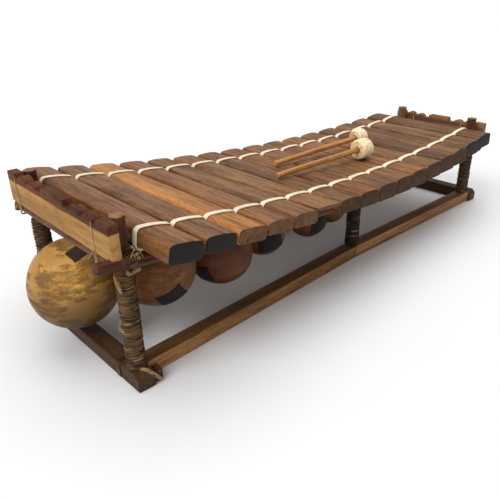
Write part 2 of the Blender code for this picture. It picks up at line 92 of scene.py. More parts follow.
class Paint:
    """The node tree of one material, with its Principled shader."""

    def __init__(self, name: str) -> None:
        """Start a material with an empty tree and one shader.

        Args:
            name: the material's name.
        """
        self.material = bpy.data.materials.new(name)
        self.material.use_nodes = True
        self.tree = self.material.node_tree
        self.shader = self.tree.nodes["Principled BSDF"]
        self.coords = self.tree.nodes.new("ShaderNodeTexCoord").outputs[OBJECT_COORDS]

    def node(
        self, kind: str, settings: dict[str, Any] | None = None, inputs: dict[Any, Any] | None = None
    ) -> Any:
        """Add a node, set it up and wire it.

        Args:
            kind: the node's type name without the ShaderNode prefix.
            settings: attributes, set before the sockets.
            inputs: socket name or number to a value, Value or socket.

        Returns:
            The new node.
        """
        made = self.tree.nodes.new(f"ShaderNode{kind}")
        for key, value in (settings or {}).items():
            setattr(made, key, value)
        for key, value in (inputs or {}).items():
            self.feed(made.inputs[key], value)
        return made

    def feed(self, socket: Any, value: Any) -> None:
        """Link or set one socket."""
        if isinstance(value, Value):
            self.tree.links.new(value.socket, socket)
        elif isinstance(value, bpy.types.NodeSocket):
            self.tree.links.new(value, socket)
        elif isinstance(value, tuple) and len(value) == 3 and socket.type == "RGBA":
            socket.default_value = (*value, 1.0)
        else:
            socket.default_value = value

    def maths(self, operation: str, *values: Any) -> Value:
        """One Math node."""
        made = self.node("Math", {"operation": operation}, dict(enumerate(values)))
        return Value(self, made.outputs[0])

    def axis(self, name: str) -> Value:
        """One coordinate of the surface point: X, Y or Z."""
        return Value(self, self.node("SeparateXYZ", None, {0: self.coords}).outputs[name])

    def stretched(self, scale: Sequence[float], offset: Sequence[float] = (0.0, 0.0, 0.0)) -> Any:
        """The coordinates scaled per axis and moved."""
        made = self.node("Mapping", None, {"Vector": self.coords, "Location": offset, "Scale": scale})
        return made.outputs[0]

    def noise(self, scale: float, detail: float = 4.0, vector: Any = None, rough: float = 0.55) -> Value:
        """A noise value around one half.

        Args:
            scale: pattern repeats per metre before any stretching.
            detail: octaves.
            vector: coordinates, or None for the plain ones.
            rough: share of the fine octaves.

        Returns:
            The noise factor.
        """
        made = self.node(
            "TexNoise",
            None,
            {"Vector": vector or self.coords, "Scale": scale, "Detail": detail, "Roughness": rough},
        )
        return Value(self, made.outputs["Fac"])

    def level(self, value: Value, low: float, high: float) -> Value:
        """The value stretched so that low becomes 0 and high becomes 1, clamped smoothly."""
        made = self.node(
            "MapRange",
            {"interpolation_type": "SMOOTHSTEP"},
            {"Value": value, "From Min": low, "From Max": high},
        )
        return Value(self, made.outputs["Result"])

    def mix(self, factor: Any, first: Any, second: Any, blend: str = "MIX") -> Any:
        """Blend two colours and return the colour socket."""
        made = self.node("Mix", {"data_type": "RGBA", "blend_type": blend}, {0: factor, 6: first, 7: second})
        return made.outputs[2]

    def bump(self, height: Value, strength: float, distance: float) -> None:
        """Feed a height to the shader's normal."""
        made = self.node("Bump", None, {"Strength": strength, "Distance": distance, "Height": height})
        self.feed(self.shader.inputs["Normal"], made.outputs["Normal"])

    def done(self, colour: Any, roughness: Any, specular: float = 0.4) -> bpy.types.Material:
        """Wire colour and roughness and return the material."""
        self.feed(self.shader.inputs["Base Color"], colour)
        self.feed(self.shader.inputs["Roughness"], roughness)
        self.shader.inputs["Specular IOR Level"].default_value = specular
        return self.material


class Grain(Enum):
    """The way that a piece's wood fibres run, as the noise's stretch per axis."""

    ALONG_X = (0.055, 1.0, 1.0)
    ALONG_Y = (1.0, 0.055, 1.0)
    ALONG_Z = (1.0, 1.0, 0.07)


@dataclass(frozen=True)
class Wood:
    """Oiled hardwood: faint figure, short fibre streaks, open pores, and painted shade above a set height for the
    keyboard's shadow on a rail's top.
    """

    name: str
    light: Colour
    dark: Colour
    grain: Grain
    roughness: float = 0.46
    shift: float = 0.0
    figure: float = 34.0
    # Painted shade: faces above this height are darkened by the share below, standing in for the keyboard's shadow
    # on the rails' tops; the 9 m default keeps it off.
    top_shade_from: float = 9.0
    darkening: float = 0.62

    def material(self) -> bpy.types.Material:
        """Build the finish.

        Returns:
            The wood material.
        """
        paint = Paint(self.name)
        offset = (self.shift, self.shift * 0.37, self.shift * 0.61)
        along = paint.stretched(self.grain.value, offset)
        broad = paint.noise(self.figure, 3.0, along, 0.5)
        streak = paint.noise(190.0, 4.0, along, 0.6)
        fibre = paint.noise(620.0, 5.0, along, 0.7)
        pores = paint.noise(1500.0, 2.0, along, 0.5)
        blotch = paint.noise(11.0, 4.0)
        tone = paint.level(broad * 0.26 + streak * 0.34 + fibre * 0.30 + blotch * 0.10, 0.40, 0.60)
        colour = paint.mix(tone, self.dark, self.light)
        seam = paint.level(streak, 0.30, 0.42)
        streaked = paint.mix(0.50 - seam * 0.50, colour, tuple(c * 0.45 for c in self.dark))
        pore = paint.level(pores, 0.55, 0.64)
        spotted = paint.mix(pore * 0.60, streaked, tuple(c * 0.35 for c in self.dark))
        # Painted shade: above the set height the wood darkens towards a deep copy of its dark colour, standing in
        # for the keyboard's shadow on a rail's top.
        height = paint.axis("Z") + 0.0012 * blotch
        top_shade = paint.level(height, self.top_shade_from, self.top_shade_from + 0.0012) * self.darkening
        top_shaded = paint.mix(top_shade, spotted, tuple(c * 0.30 for c in self.dark))
        paint.bump(fibre * 0.6 + pores * 0.4, 0.45, 0.0006)
        return paint.done(top_shaded, self.roughness + 0.14 * (1.0 - tone), 0.20)


@dataclass(frozen=True)
class EndGrain:
    """Sawn end wood with growth rings and short checks."""

    name: str
    light: Colour
    dark: Colour
    centre: Colour = (0.0, 0.0, 0.0)

    def material(self) -> bpy.types.Material:
        """Build the finish.

        Returns:
            The end grain material.
        """
        paint = Paint(self.name)
        away = tuple(-c for c in self.centre)
        moved = paint.stretched((1.0, 1.0, 1.0), away)
        rings = paint.node(
            "TexWave",
            {"wave_type": "RINGS", "rings_direction": "Y"},
            {"Vector": moved, "Scale": 60.0, "Distortion": 4.0, "Detail": 4.0, "Detail Scale": 2.0},
        )
        ring = Value(paint, rings.outputs["Fac"])
        speck = paint.noise(1100.0, 4.0, None, 0.7)
        stain = paint.noise(75.0, 5.0, None, 0.65)
        tone = paint.level(ring * 0.05 + speck * 0.35 + stain * 0.60, 0.32, 0.66)
        check = paint.level(paint.noise(60.0, 3.0, paint.stretched((4.5, 1.0, 0.9))), 0.62, 0.66)
        colour = paint.mix(tone, self.dark, self.light)
        paint.bump(speck * 0.6 - check * 0.6, 0.6, 0.0006)
        cracked = paint.mix(check * 0.7, colour, tuple(c * 0.25 for c in self.dark))
        return paint.done(cracked, 0.66 + 0.1 * tone, 0.2)


@dataclass(frozen=True)
class Scorched:
    """Bar ends blackened with a hot iron and worn back at their edges."""

    name: str = "scorched_end"

    def material(self) -> bpy.types.Material:
        """Build the finish."""
        paint = Paint(self.name)
        soot = paint.noise(220.0, 5.0)
        wear = paint.level(paint.noise(90.0, 6.0, None, 0.7), 0.62, 0.74)
        colour = paint.mix(soot, (0.0035, 0.0028, 0.0024), (0.014, 0.011, 0.009))
        worn = paint.mix(wear * 0.35, colour, (0.040, 0.020, 0.012))
        paint.bump(soot, 0.5, 0.0006)
        return paint.done(worn, 0.50 + 0.2 * soot, 0.22)


@dataclass(frozen=True)
class BoardWood:
    """A plank split at the sapwood: pale below a wavering line, dark red heartwood above."""

    name: str
    sap_line: float
    sap: Colour = (0.500, 0.280, 0.084)
    sap_dark: Colour = (0.270, 0.128, 0.036)
    heart: Colour = (0.150, 0.048, 0.017)
    heart_dark: Colour = (0.045, 0.014, 0.006)

    def material(self) -> bpy.types.Material:
        """Build the finish.

        Returns:
            The two-toned plank material.
        """
        paint = Paint(self.name)
        along = paint.stretched(Grain.ALONG_Y.value)
        broad = paint.noise(70.0, 5.0, along)
        fibre = paint.noise(520.0, 6.0, along, 0.7)
        dirt = paint.noise(35.0, 5.0, None, 0.65)
        tone = paint.level(broad * 0.6 + fibre * 0.4, 0.38, 0.62)
        pale = paint.mix(tone, self.sap_dark, self.sap)
        stained = paint.mix(paint.level(dirt, 0.50, 0.72) * 0.55, pale, self.sap_dark)
        red = paint.mix(tone, self.heart_dark, self.heart)
        line = paint.axis("Z") + 0.006 * (paint.noise(16.0, 2.0) - 0.5)
        above = paint.level(line, self.sap_line - 0.0008, self.sap_line + 0.0008)
        paint.bump(fibre, 0.4, 0.0006)
        return paint.done(paint.mix(above, stained, red), 0.60 + 0.15 * dirt, 0.18)


@dataclass(frozen=True)
class GourdSkin:
    """Dried calabash shell: waxy skin with smeared blotches, scuffs, and painted shade that darkens it towards the
    bottom.
    """

    name: str
    light: Colour
    middle: Colour
    dark: Colour
    blotch: float = 0.55
    # Painted shade: the skin is darkened below the first height and keeps its own colour above the second.
    shade_low: float = 0.04
    shade_high: float = 0.14

    def material(self) -> bpy.types.Material:
        """Build the finish.

        Returns:
            The gourd skin material.
        """
        paint = Paint(self.name)
        smear = paint.stretched((1.0, 0.8, 1.7))
        cloud = paint.noise(8.5, 3.0, smear, 0.5)
        islands = paint.noise(21.0, 8.0, smear, 0.64)
        smears = paint.noise(70.0, 6.0, paint.stretched((0.5, 0.5, 1.6)), 0.66)
        scuff = paint.noise(260.0, 5.0, smear, 0.7)
        colour = paint.mix(paint.level(cloud * 0.7 + islands * 0.3, 0.42, 0.58), self.middle, self.light)
        patch = paint.level(islands * 0.46 + cloud * 0.24 + smears * 0.30, 0.462, 0.515)
        inside = patch * (0.50 + 0.50 * paint.level(smears * 0.7 + scuff * 0.3, 0.40, 0.58))
        blotched = paint.mix(inside * self.blotch, colour, self.dark)
        speck = paint.level(scuff, 0.60, 0.70)
        specked = paint.mix(speck * 0.30, blotched, self.dark)
        # Painted shade: the skin darkens towards the bottom of the gourd, with a cloudy edge, to half of the dark
        # colour.
        height = paint.axis("Z") + 0.05 * (cloud - 0.5)
        low_shade = (1.0 - paint.level(height, self.shade_low, self.shade_high)) * 0.95
        low_shade_colour = tuple(c * 0.50 for c in self.dark)
        paint.bump(islands * 0.5 + scuff * 0.5, 0.22, 0.0010)
        return paint.done(paint.mix(low_shade, specked, low_shade_colour), 0.40 + 0.22 * patch, 0.24)


@dataclass(frozen=True)
class Thread:
    """Spun fibre: waxed twine or soft lacing, with short pale and dark fibres."""

    name: str
    light: Colour
    dark: Colour
    roughness: float = 0.7
    fuzz: float = 0.6

    def material(self) -> bpy.types.Material:
        """Build the finish.

        Returns:
            The thread material.
        """
        paint = Paint(self.name)
        fibre = paint.noise(900.0, 4.0, paint.stretched((1.0, 1.0, 2.2)), 0.7)
        turn = paint.noise(330.0, 2.0, paint.stretched((0.16, 0.16, 1.0)))
        patch = paint.noise(60.0, 4.0)
        tone = paint.level(fibre * 0.30 + turn * 0.50 + patch * 0.20, 0.38, 0.64)
        paint.bump(fibre, self.fuzz, 0.0005)
        return paint.done(paint.mix(tone, self.dark, self.light), self.roughness + 0.15 * fibre, 0.25)


@dataclass(frozen=True)
class Rubber:
    """Cut strips of pale latex, handled and slightly grimy in the folds."""

    name: str = "wound_rubber"

    def material(self) -> bpy.types.Material:
        """Build the finish."""
        paint = Paint(self.name)
        darkening = paint.level(paint.noise(130.0, 5.0, None, 0.65), 0.46, 0.70)
        fine = paint.noise(1400.0, 3.0)
        colour = paint.mix(darkening * 0.8, (0.940, 0.770, 0.480), (0.560, 0.330, 0.160))
        paint.bump(fine, 0.25, 0.0003)
        return paint.done(colour, 0.62 + 0.12 * fine, 0.35)


@dataclass(frozen=True)
class Resin:
    """Black wax patch over a gourd's buzzing hole, worn brown where it is old."""

    name: str = "black_wax"
    light: Colour = (0.010, 0.008, 0.007)
    dark: Colour = (0.0025, 0.0022, 0.0020)

    def material(self) -> bpy.types.Material:
        """Build the finish."""
        paint = Paint(self.name)
        lump = paint.noise(320.0, 5.0)
        paint.bump(lump, 0.5, 0.0008)
        return paint.done(paint.mix(lump, self.dark, self.light), 0.55 + 0.2 * lump, 0.2)


class BarTone(Enum):
    """The timbers of the bars, light and dark colour."""

    RED = ((0.330, 0.142, 0.050), (0.110, 0.042, 0.014))
    PLUM = ((0.290, 0.132, 0.052), (0.085, 0.036, 0.015))
    HONEY = ((0.560, 0.240, 0.070), (0.250, 0.096, 0.025))
    BROWN = ((0.340, 0.160, 0.058), (0.115, 0.050, 0.017))
    UMBER = ((0.300, 0.140, 0.054), (0.088, 0.038, 0.015))
    AMBER = ((0.380, 0.165, 0.054), (0.140, 0.055, 0.018))
    DUSK = ((0.200, 0.088, 0.032), (0.070, 0.029, 0.011))


BAR_TONES = (
    BarTone.RED, BarTone.PLUM, BarTone.HONEY, BarTone.RED, BarTone.UMBER, BarTone.BROWN, BarTone.UMBER, BarTone.RED,
    BarTone.UMBER, BarTone.BROWN, BarTone.AMBER, BarTone.BROWN, BarTone.DUSK, BarTone.UMBER, BarTone.UMBER,
    BarTone.DUSK,
)


# ---------------------------------------------------------------- modelling
def to_object_mode() -> None:
    """Leave edit mode and deselect everything."""
    if bpy.context.mode != "OBJECT":
        bpy.ops.object.mode_set(mode="OBJECT")
    bpy.ops.object.select_all(action="DESELECT")


def choose(obj: bpy.types.Object) -> None:
    """Make one object active and the only selected one."""
    to_object_mode()
    obj.select_set(True)
    bpy.context.view_layer.objects.active = obj


def settle(obj: bpy.types.Object, place: Matrix | None = None) -> bpy.types.Object:
    """Put the object's place into its mesh, and its origin at the world's.

    Args:
        obj: the piece.
        place: a world matrix to apply on top, or None.

    Returns:
        The same piece.
    """
    if place is not None:
        obj.matrix_world = place @ obj.matrix_world
    choose(obj)
    bpy.ops.object.transform_apply(location=True, rotation=True, scale=True)
    return obj


def block(name: str, size: Sequence[float], centre: Sequence[float] = (0.0, 0.0, 0.0)) -> bpy.types.Object:
    """Add a cube at its size and place, ready to be shaped."""
    to_object_mode()
    bpy.ops.mesh.primitive_cube_add(size=1.0, location=centre, scale=size)
    obj = bpy.context.active_object
    obj.name = name
    return settle(obj)


def rod(name: str, radius: float, length: float, sides: int) -> bpy.types.Object:
    """Add an upright cylinder that starts at z = 0."""
    to_object_mode()
    middle = (0, 0, length / 2)
    bpy.ops.mesh.primitive_cylinder_add(vertices=sides, radius=radius, depth=length, location=middle)
    obj = bpy.context.active_object
    obj.name = name
    return settle(obj)


def pick(obj: bpy.types.Object, kind: str, test: Callable[[Any], bool]) -> int:
    """Select the parts of a mesh that pass a test, in edit mode.

    Args:
        obj: the mesh object.
        kind: verts, edges or faces.
        test: says yes for a part that is wanted.

    Returns:
        How many were selected.
    """
    choose(obj)
    bpy.ops.object.mode_set(mode="EDIT")
    modes = {"verts": "VERT", "edges": "EDGE", "faces": "FACE"}
    bpy.ops.mesh.select_mode(type=modes[kind])
    bpy.ops.mesh.select_all(action="DESELECT")
    mesh = bmesh.from_edit_mesh(obj.data)
    wanted = [part for part in getattr(mesh, kind) if test(part)]
    for part in wanted:
        part.select_set(True)
    bmesh.update_edit_mesh(obj.data)
    return len(wanted)


def round_edges(obj: bpy.types.Object, test: Callable[[Any], bool], width: float, segments: int) -> None:
    """Bevel the edges that pass a test."""
    if pick(obj, "edges", test):
        bpy.ops.mesh.bevel(offset=width, segments=segments, affect="EDGES", profile=0.5)
    to_object_mode()


def slice_along(obj: bpy.types.Object, axis: Vector, stations: Iterable[float]) -> None:
    """Bisect a mesh into cross-sections at distances along an axis."""
    choose(obj)
    bpy.ops.object.mode_set(mode="EDIT")
    for station in stations:
        bpy.ops.mesh.select_all(action="SELECT")
        bpy.ops.mesh.bisect(plane_co=axis * station, plane_no=axis)
    to_object_mode()


def roughen(obj: bpy.types.Object, axis: Vector, stations: Iterable[float], rng: random.Random, nudge: float,
            swell: float) -> None:
    """Shift and scale whole cross-sections a little, as a hand tool leaves them.

    Args:
        obj: the mesh object.
        axis: direction along the piece.
        stations: distances of the cross-sections along the axis.
        rng: seeded random source.
        nudge: largest sideways shift.
        swell: largest change of size, as a share.
    """
    side = axis.orthogonal().normalized()
    across = axis.cross(side)
    for station in stations:
        if not pick(obj, "verts", lambda v, s=station: abs(v.co.dot(axis) - s) < 1e-5):
            continue
        shift = side * rng.uniform(-nudge, nudge) + across * rng.uniform(-nudge, nudge)
        bpy.ops.transform.translate(value=shift)
        size = 1.0 + rng.uniform(-swell, swell)
        bpy.ops.transform.resize(value=(size, size, size), center_override=axis * station + shift)
    to_object_mode()


def tube_mesh(name: str, points: Sequence[Vector], radius: float, closed: bool = False, sides: int = 1,
              radii: Sequence[float] | None = None) -> bpy.types.Object:
    """A round cord or pole along points, turned into a mesh.

    Args:
        name: the piece's name.
        points: its centre line.
        radius: its radius.
        closed: True for a ring.
        sides: bevel resolution, 1 for six sides.
        radii: share of the radius at each point, or None.

    Returns:
        The mesh object.
    """
    data = bpy.data.curves.new(name, "CURVE")
    data.dimensions = "3D"
    data.bevel_depth = radius
    data.bevel_resolution = sides
    data.use_fill_caps = not closed
    spline = data.splines.new("POLY")
    spline.points.add(len(points) - 1)
    for number, (slot, point) in enumerate(zip(spline.points, points)):
        slot.co = (*point, 1.0)
        slot.radius = radii[number] if radii else 1.0
    spline.use_cyclic_u = closed
    obj = bpy.data.objects.new(name, data)
    bpy.context.scene.collection.objects.link(obj)
    choose(obj)
    bpy.ops.object.convert(target="MESH")
    made = bpy.context.active_object
    bpy.ops.object.mode_set(mode="EDIT")
    bpy.ops.mesh.select_all(action="SELECT")
    bpy.ops.mesh.remove_doubles(threshold=0.00002)
    bpy.ops.mesh.normals_make_consistent(inside=False)
    to_object_mode()
    return made


def merge(name: str, parts: Sequence[bpy.types.Object]) -> bpy.types.Object:
    """Join meshes into one piece."""
    choose(parts[0])
    for part in parts:
        part.select_set(True)
    if len(parts) > 1:
        bpy.ops.object.join()
    obj = bpy.context.active_object
    obj.name = name
    obj.data.name = name
    return obj


def dress(obj: bpy.types.Object, material: bpy.types.Material, angle: float = 40.0) -> bpy.types.Object:
    """Give a piece its only material and shade its round faces."""
    obj.data.materials.clear()
    obj.data.materials.append(material)
    choose(obj)
    bpy.ops.object.shade_smooth_by_angle(angle=math.radians(angle))
    to_object_mode()
    return obj


def rounded_ring(width: float, height: float, corner: float, steps: int = 5) -> list[Vector]:
    """Points of a rounded rectangle in the XZ plane, round the origin."""
    points = []
    for turn, (sx, sz) in enumerate(((1, 1), (-1, 1), (-1, -1), (1, -1))):
        for step in range(steps + 1):
            angle = math.pi / 2 * (turn + step / steps)
            x = sx * (width / 2 - corner) + corner * math.cos(angle)
            z = sz * (height / 2 - corner) + corner * math.sin(angle)
            points.append(Vector((x, 0.0, z)))
    return points


def spread_top(ring: Sequence[Vector], steps: int = 8) -> list[Vector]:
    """Add points along a ring's long straight runs."""
    points = []
    for number, point in enumerate(ring):
        after = ring[(number + 1) % len(ring)]
        count = steps if (after - point).length > 0.02 else 1
        points += [point.lerp(after, step / count) for step in range(count)]
    return points


def wander(spot: Vector, scale: float) -> float:
    """Smooth, repeatable noise between about -1 and 1 at a place."""
    return noise.noise(spot * scale)


# ----------------------------------------------------------------- keyboard
@dataclass
class Keyboard:
    """The hewn bars, tilted along the sag that their cords take."""

    count: int = 16
    width: float = 0.05045
    edge: float = 0.0050
    sag_curve: float = 0.146
    sag_low_from_post: float = 0.626
    arch: float = 0.0028
    crown: float = 0.0019
    thinned: int = 5
    thinned_length: float = 0.075
    thinned_left: float = 0.0065
    scorched: tuple[int, ...] = (0, 1, 14, 15)
    sawn: tuple[int, ...] = (2, 3, 4, 5)
    rng: random.Random = field(default_factory=lambda: random.Random(7))

    def node(self, index: int) -> str:
        """Name of a bar's CAD node."""
        return f"bar_{index + 1:02d}"

    def slope(self, x: float) -> float:
        """Slope of the playing surface at x."""
        post_low, post_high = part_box("post_front_left")
        low_x = (post_low.x + post_high.x) / 2 + self.sag_low_from_post
        return 2.0 * self.sag_curve * (x - low_x)

    def thickness(self, index: int) -> float:
        """Thickness of one bar, from the height of its tilted box."""
        low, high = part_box(self.node(index))
        tilt = abs(math.atan(self.slope((low.x + high.x) / 2)))
        flat = (high.z - low.z) - 2 * self.edge - (self.width - 2 * self.edge) * math.sin(tilt)
        return flat / math.cos(tilt) + 2 * self.edge

    def place(self, index: int) -> Matrix:
        """World matrix of the middle of a bar's section."""
        low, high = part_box(self.node(index))
        middle = (low + high) / 2
        tilt = Matrix.Rotation(-math.atan(self.slope(middle.x)), 4, "Y")
        return Matrix.Translation((middle.x, 0.0, middle.z)) @ tilt

    def build_bar(self, index: int) -> bpy.types.Object:
        """Hew one bar from a block.

        Args:
            index: 0 at the low end.

        Returns:
            The bar, in place.
        """
        low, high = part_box(self.node(index))
        length = high.y - low.y
        thick = self.thickness(index)
        bar = block(f"hewn_{self.node(index)}", (self.width, length, thick), (0.0, (low.y + high.y) / 2, 0.0))
        along = Vector((0.0, 1.0, 0.0))
        stations = [low.y + length * share for share in (0.03, 0.12, 0.24, 0.36, 0.5, 0.64, 0.76, 0.88, 0.97)]
        if index == self.thinned:
            stations += [low.y + self.thinned_length * share for share in (0.3, 0.5, 0.7, 0.85, 1.0)]
        slice_along(bar, along, sorted(stations))
        if index != self.thinned:
            self.arch_underside(bar, stations, thick)
        half = self.width / 2
        across = [half * share for share in (-0.62, -0.36, -0.12, 0.12, 0.36, 0.62)]
        slice_along(bar, Vector((1.0, 0.0, 0.0)), across)
        for vertex in bar.data.vertices:
            vertex.co.z -= self.fall(vertex.co.x, vertex.co.z)
        round_edges(bar, lambda e: self.is_long_edge(e, half), self.edge, 5)
        round_edges(bar, lambda e: self.is_end_edge(e, low.y, high.y), 0.0019, 3)
        if index == self.thinned:
            self.thin_end(bar, low.y, thick)
        roughen(bar, along, stations, self.rng, 0.00022, 0.006)
        self.dress_bar(bar, index)
        return settle(bar, self.place(index))

    def fall(self, x: float, z: float) -> float:
        """How far a bar's convex top falls away at x; nothing on its underside."""
        return self.crown * min(1.0, abs(2.0 * x / self.width)) ** 2 if z > 0.0 else 0.0

    @staticmethod
    def is_long_edge(edge: Any, half: float) -> bool:
        """True for the four edges along a block's length."""
        run = edge.verts[1].co - edge.verts[0].co
        corner = all(abs(abs(v.co.x) - half) < 1e-5 for v in edge.verts)
        two_sides = len({round(f.normal.x) for f in edge.link_faces}) > 1
        return corner and abs(run.normalized().y) > 0.8 and two_sides

    @staticmethod
    def is_end_edge(edge: Any, front: float, back: float) -> bool:
        """True for the rim of either sawn end."""
        at_end = all(min(abs(v.co.y - front), abs(v.co.y - back)) < 1e-5 for v in edge.verts)
        return at_end and any(abs(f.normal.y) < 0.9 for f in edge.link_faces)

    def arch_underside(self, bar: bpy.types.Object, stations: Sequence[float], thick: float) -> None:
        """Scoop out the underside towards the middle, as tuning does."""
        middle = len(stations) // 2
        for number, station in enumerate(stations[1:-1], start=1):
            lift = self.arch * (1.0 - abs(number - middle) / middle) ** 0.7
            if pick(bar, "verts", lambda v, s=station: abs(v.co.y - s) < 1e-5 and v.co.z < -thick / 2 + 1e-5):
                bpy.ops.transform.translate(value=(0.0, 0.0, lift))
        to_object_mode()

    def thin_end(self, bar: bpy.types.Object, front: float, thick: float) -> None:
        """Shave the front end away underneath to a thin lip."""
        for vertex in bar.data.vertices:
            inward = front + self.thinned_length - vertex.co.y
            share = min(1.0, max(0.0, inward / (self.thinned_length * 0.6)))
            eased = share * share * (3.0 - 2.0 * share)
            left = 1.0 - eased * (1.0 - self.thinned_left / thick)
            vertex.co.z = thick / 2 - (thick / 2 - vertex.co.z) * left

    def dress_bar(self, bar: bpy.types.Object, index: int) -> None:
        """Side wood in the bar's own timber, and its sawn or blackened ends."""
        light, dark = BAR_TONES[index].value
        wood = Wood(f"bar_wood_{index + 1:02d}", light, dark, Grain.ALONG_Y, 0.36, 3.7 * index)
        dress(bar, wood.material(), 35.0)
        if index in self.scorched:
            end = Scorched(f"scorched_end_{index + 1:02d}").material()
        elif index in self.sawn:
            middle = self.place(index).translation
            centre = (middle.x + 0.006, 0.0, middle.z - 0.03)
            sawn = EndGrain(f"end_grain_{index + 1:02d}", (0.165, 0.084, 0.036), (0.070, 0.033, 0.014), centre)
            end = sawn.material()
        else:
            end = EndGrain(f"end_grain_{index + 1:02d}", (0.085, 0.041, 0.018), (0.030, 0.013, 0.006),
                           tuple(self.place(index).translation)).material()
        bar.data.materials.append(end)
        least = 0.22 if index in self.scorched else 0.40
        for face in bar.data.polygons:
            if abs(face.normal.y) > least:
                face.material_index = 1

    def build(self) -> None:
        """Build every bar and hand it to the frame's body."""
        for index in range(self.count):
            bar = self.build_bar(index)
            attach(bar, FRAME_BODY)
            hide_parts(self.node(index))
        LOG.info("keyboard: %d bars", self.count)


# ------------------------------------------------------------------- lacing
@dataclass
class Lacing:
    """One line of flat cord loops, one round each bar, hung on a suspension cord."""

    node: str
    side: float
    keyboard: Keyboard
    cad_half_width: float = 0.0030
    strap_half_width: float = 0.0045
    strap_round: float = 0.00085
    clearance: float = 0.0004
    cord_radius: float = 0.0024
    taper: float = 0.0509

    def line_y(self, x: float) -> float:
        """The lacing's distance from the middle at x, from the CAD node's own ends."""
        low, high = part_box(self.node)
        widest = max(abs(low.y), abs(high.y)) - self.cad_half_width
        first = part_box(self.keyboard.node(0))
        start = (first[0].x + first[1].x) / 2
        return self.side * (widest - self.taper * (x - start))

    def loop(self, index: int) -> bpy.types.Object:
        """A flat band with rounded edges round one bar."""
        thick = self.keyboard.thickness(index)
        grow = 2 * (self.clearance + self.strap_round)
        corner = self.keyboard.edge + grow / 2
        data = bpy.data.curves.new(f"loop_{index}", "CURVE")
        data.dimensions = "2D"
        data.fill_mode = "NONE"
        data.extrude = self.strap_half_width - self.strap_round
        data.bevel_depth = self.strap_round
        data.bevel_resolution = 2
        points = spread_top(rounded_ring(self.keyboard.width + grow, thick + grow, corner, 6))
        spline = data.splines.new("POLY")
        spline.points.add(len(points) - 1)
        for slot, point in zip(spline.points, points):
            slot.co = (point.x, point.z - self.keyboard.fall(point.x, point.z), 0.0, 1.0)
        spline.use_cyclic_u = True
        band = bpy.data.objects.new(f"loop_{index}", data)
        bpy.context.scene.collection.objects.link(band)
        place = self.keyboard.place(index)
        upright = Matrix.Rotation(math.pi / 2, 4, "X")
        band.matrix_world = place @ Matrix.Translation((0, self.line_y(place.translation.x), 0)) @ upright
        choose(band)
        bpy.ops.object.convert(target="MESH")
        return settle(bpy.context.active_object)

    def suspension(self) -> bpy.types.Object:
        """The cord under the bars, running along their undersides from post to post."""
        points = []
        for index in range(self.keyboard.count):
            place = self.keyboard.place(index)
            below = -self.keyboard.thickness(index) / 2 - self.clearance - self.cord_radius
            for reach in (-0.42, -0.2, 0.0, 0.2, 0.42):
                spot = place @ Vector((reach * self.keyboard.width, 0.0, below))
                points.append(Vector((spot.x, self.line_y(spot.x), spot.z)))
        low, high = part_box(self.node)
        post_low, post_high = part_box("post_front_left")
        inner_left = max(0.0, -post_high.y) - 0.006
        right_low, right_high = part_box("post_front_right")
        inner_right = -right_high.y - 0.006
        start = Vector((low.x, self.side * inner_left, points[0].z - 0.001))
        before = Vector(((post_low.x + post_high.x) / 2, self.side * inner_left, points[0].z - 0.001))
        turn = Vector((post_high.x + 0.004, self.side * (inner_left + 0.008), points[0].z))
        leave = Vector((right_low.x - 0.004, self.side * (inner_right + 0.007), points[-1].z))
        after = Vector(((right_low.x + right_high.x) / 2, self.side * inner_right, points[-1].z - 0.002))
        end = Vector((high.x, self.side * inner_right, points[-1].z - 0.005))
        route = [start, before, turn, *points, leave, after, end]
        return tube_mesh("suspension", route, self.cord_radius, sides=2)

    def build(self, cloth: bpy.types.Material) -> None:
        """Build the loops and the cord as one laced piece."""
        parts = [self.suspension()] + [self.loop(index) for index in range(self.keyboard.count)]
        piece = dress(merge(f"laced_{self.node}", parts), cloth, 50.0)
        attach(piece, FRAME_BODY)
        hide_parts(self.node)
        LOG.info("%s: %d loops", self.node, self.keyboard.count)


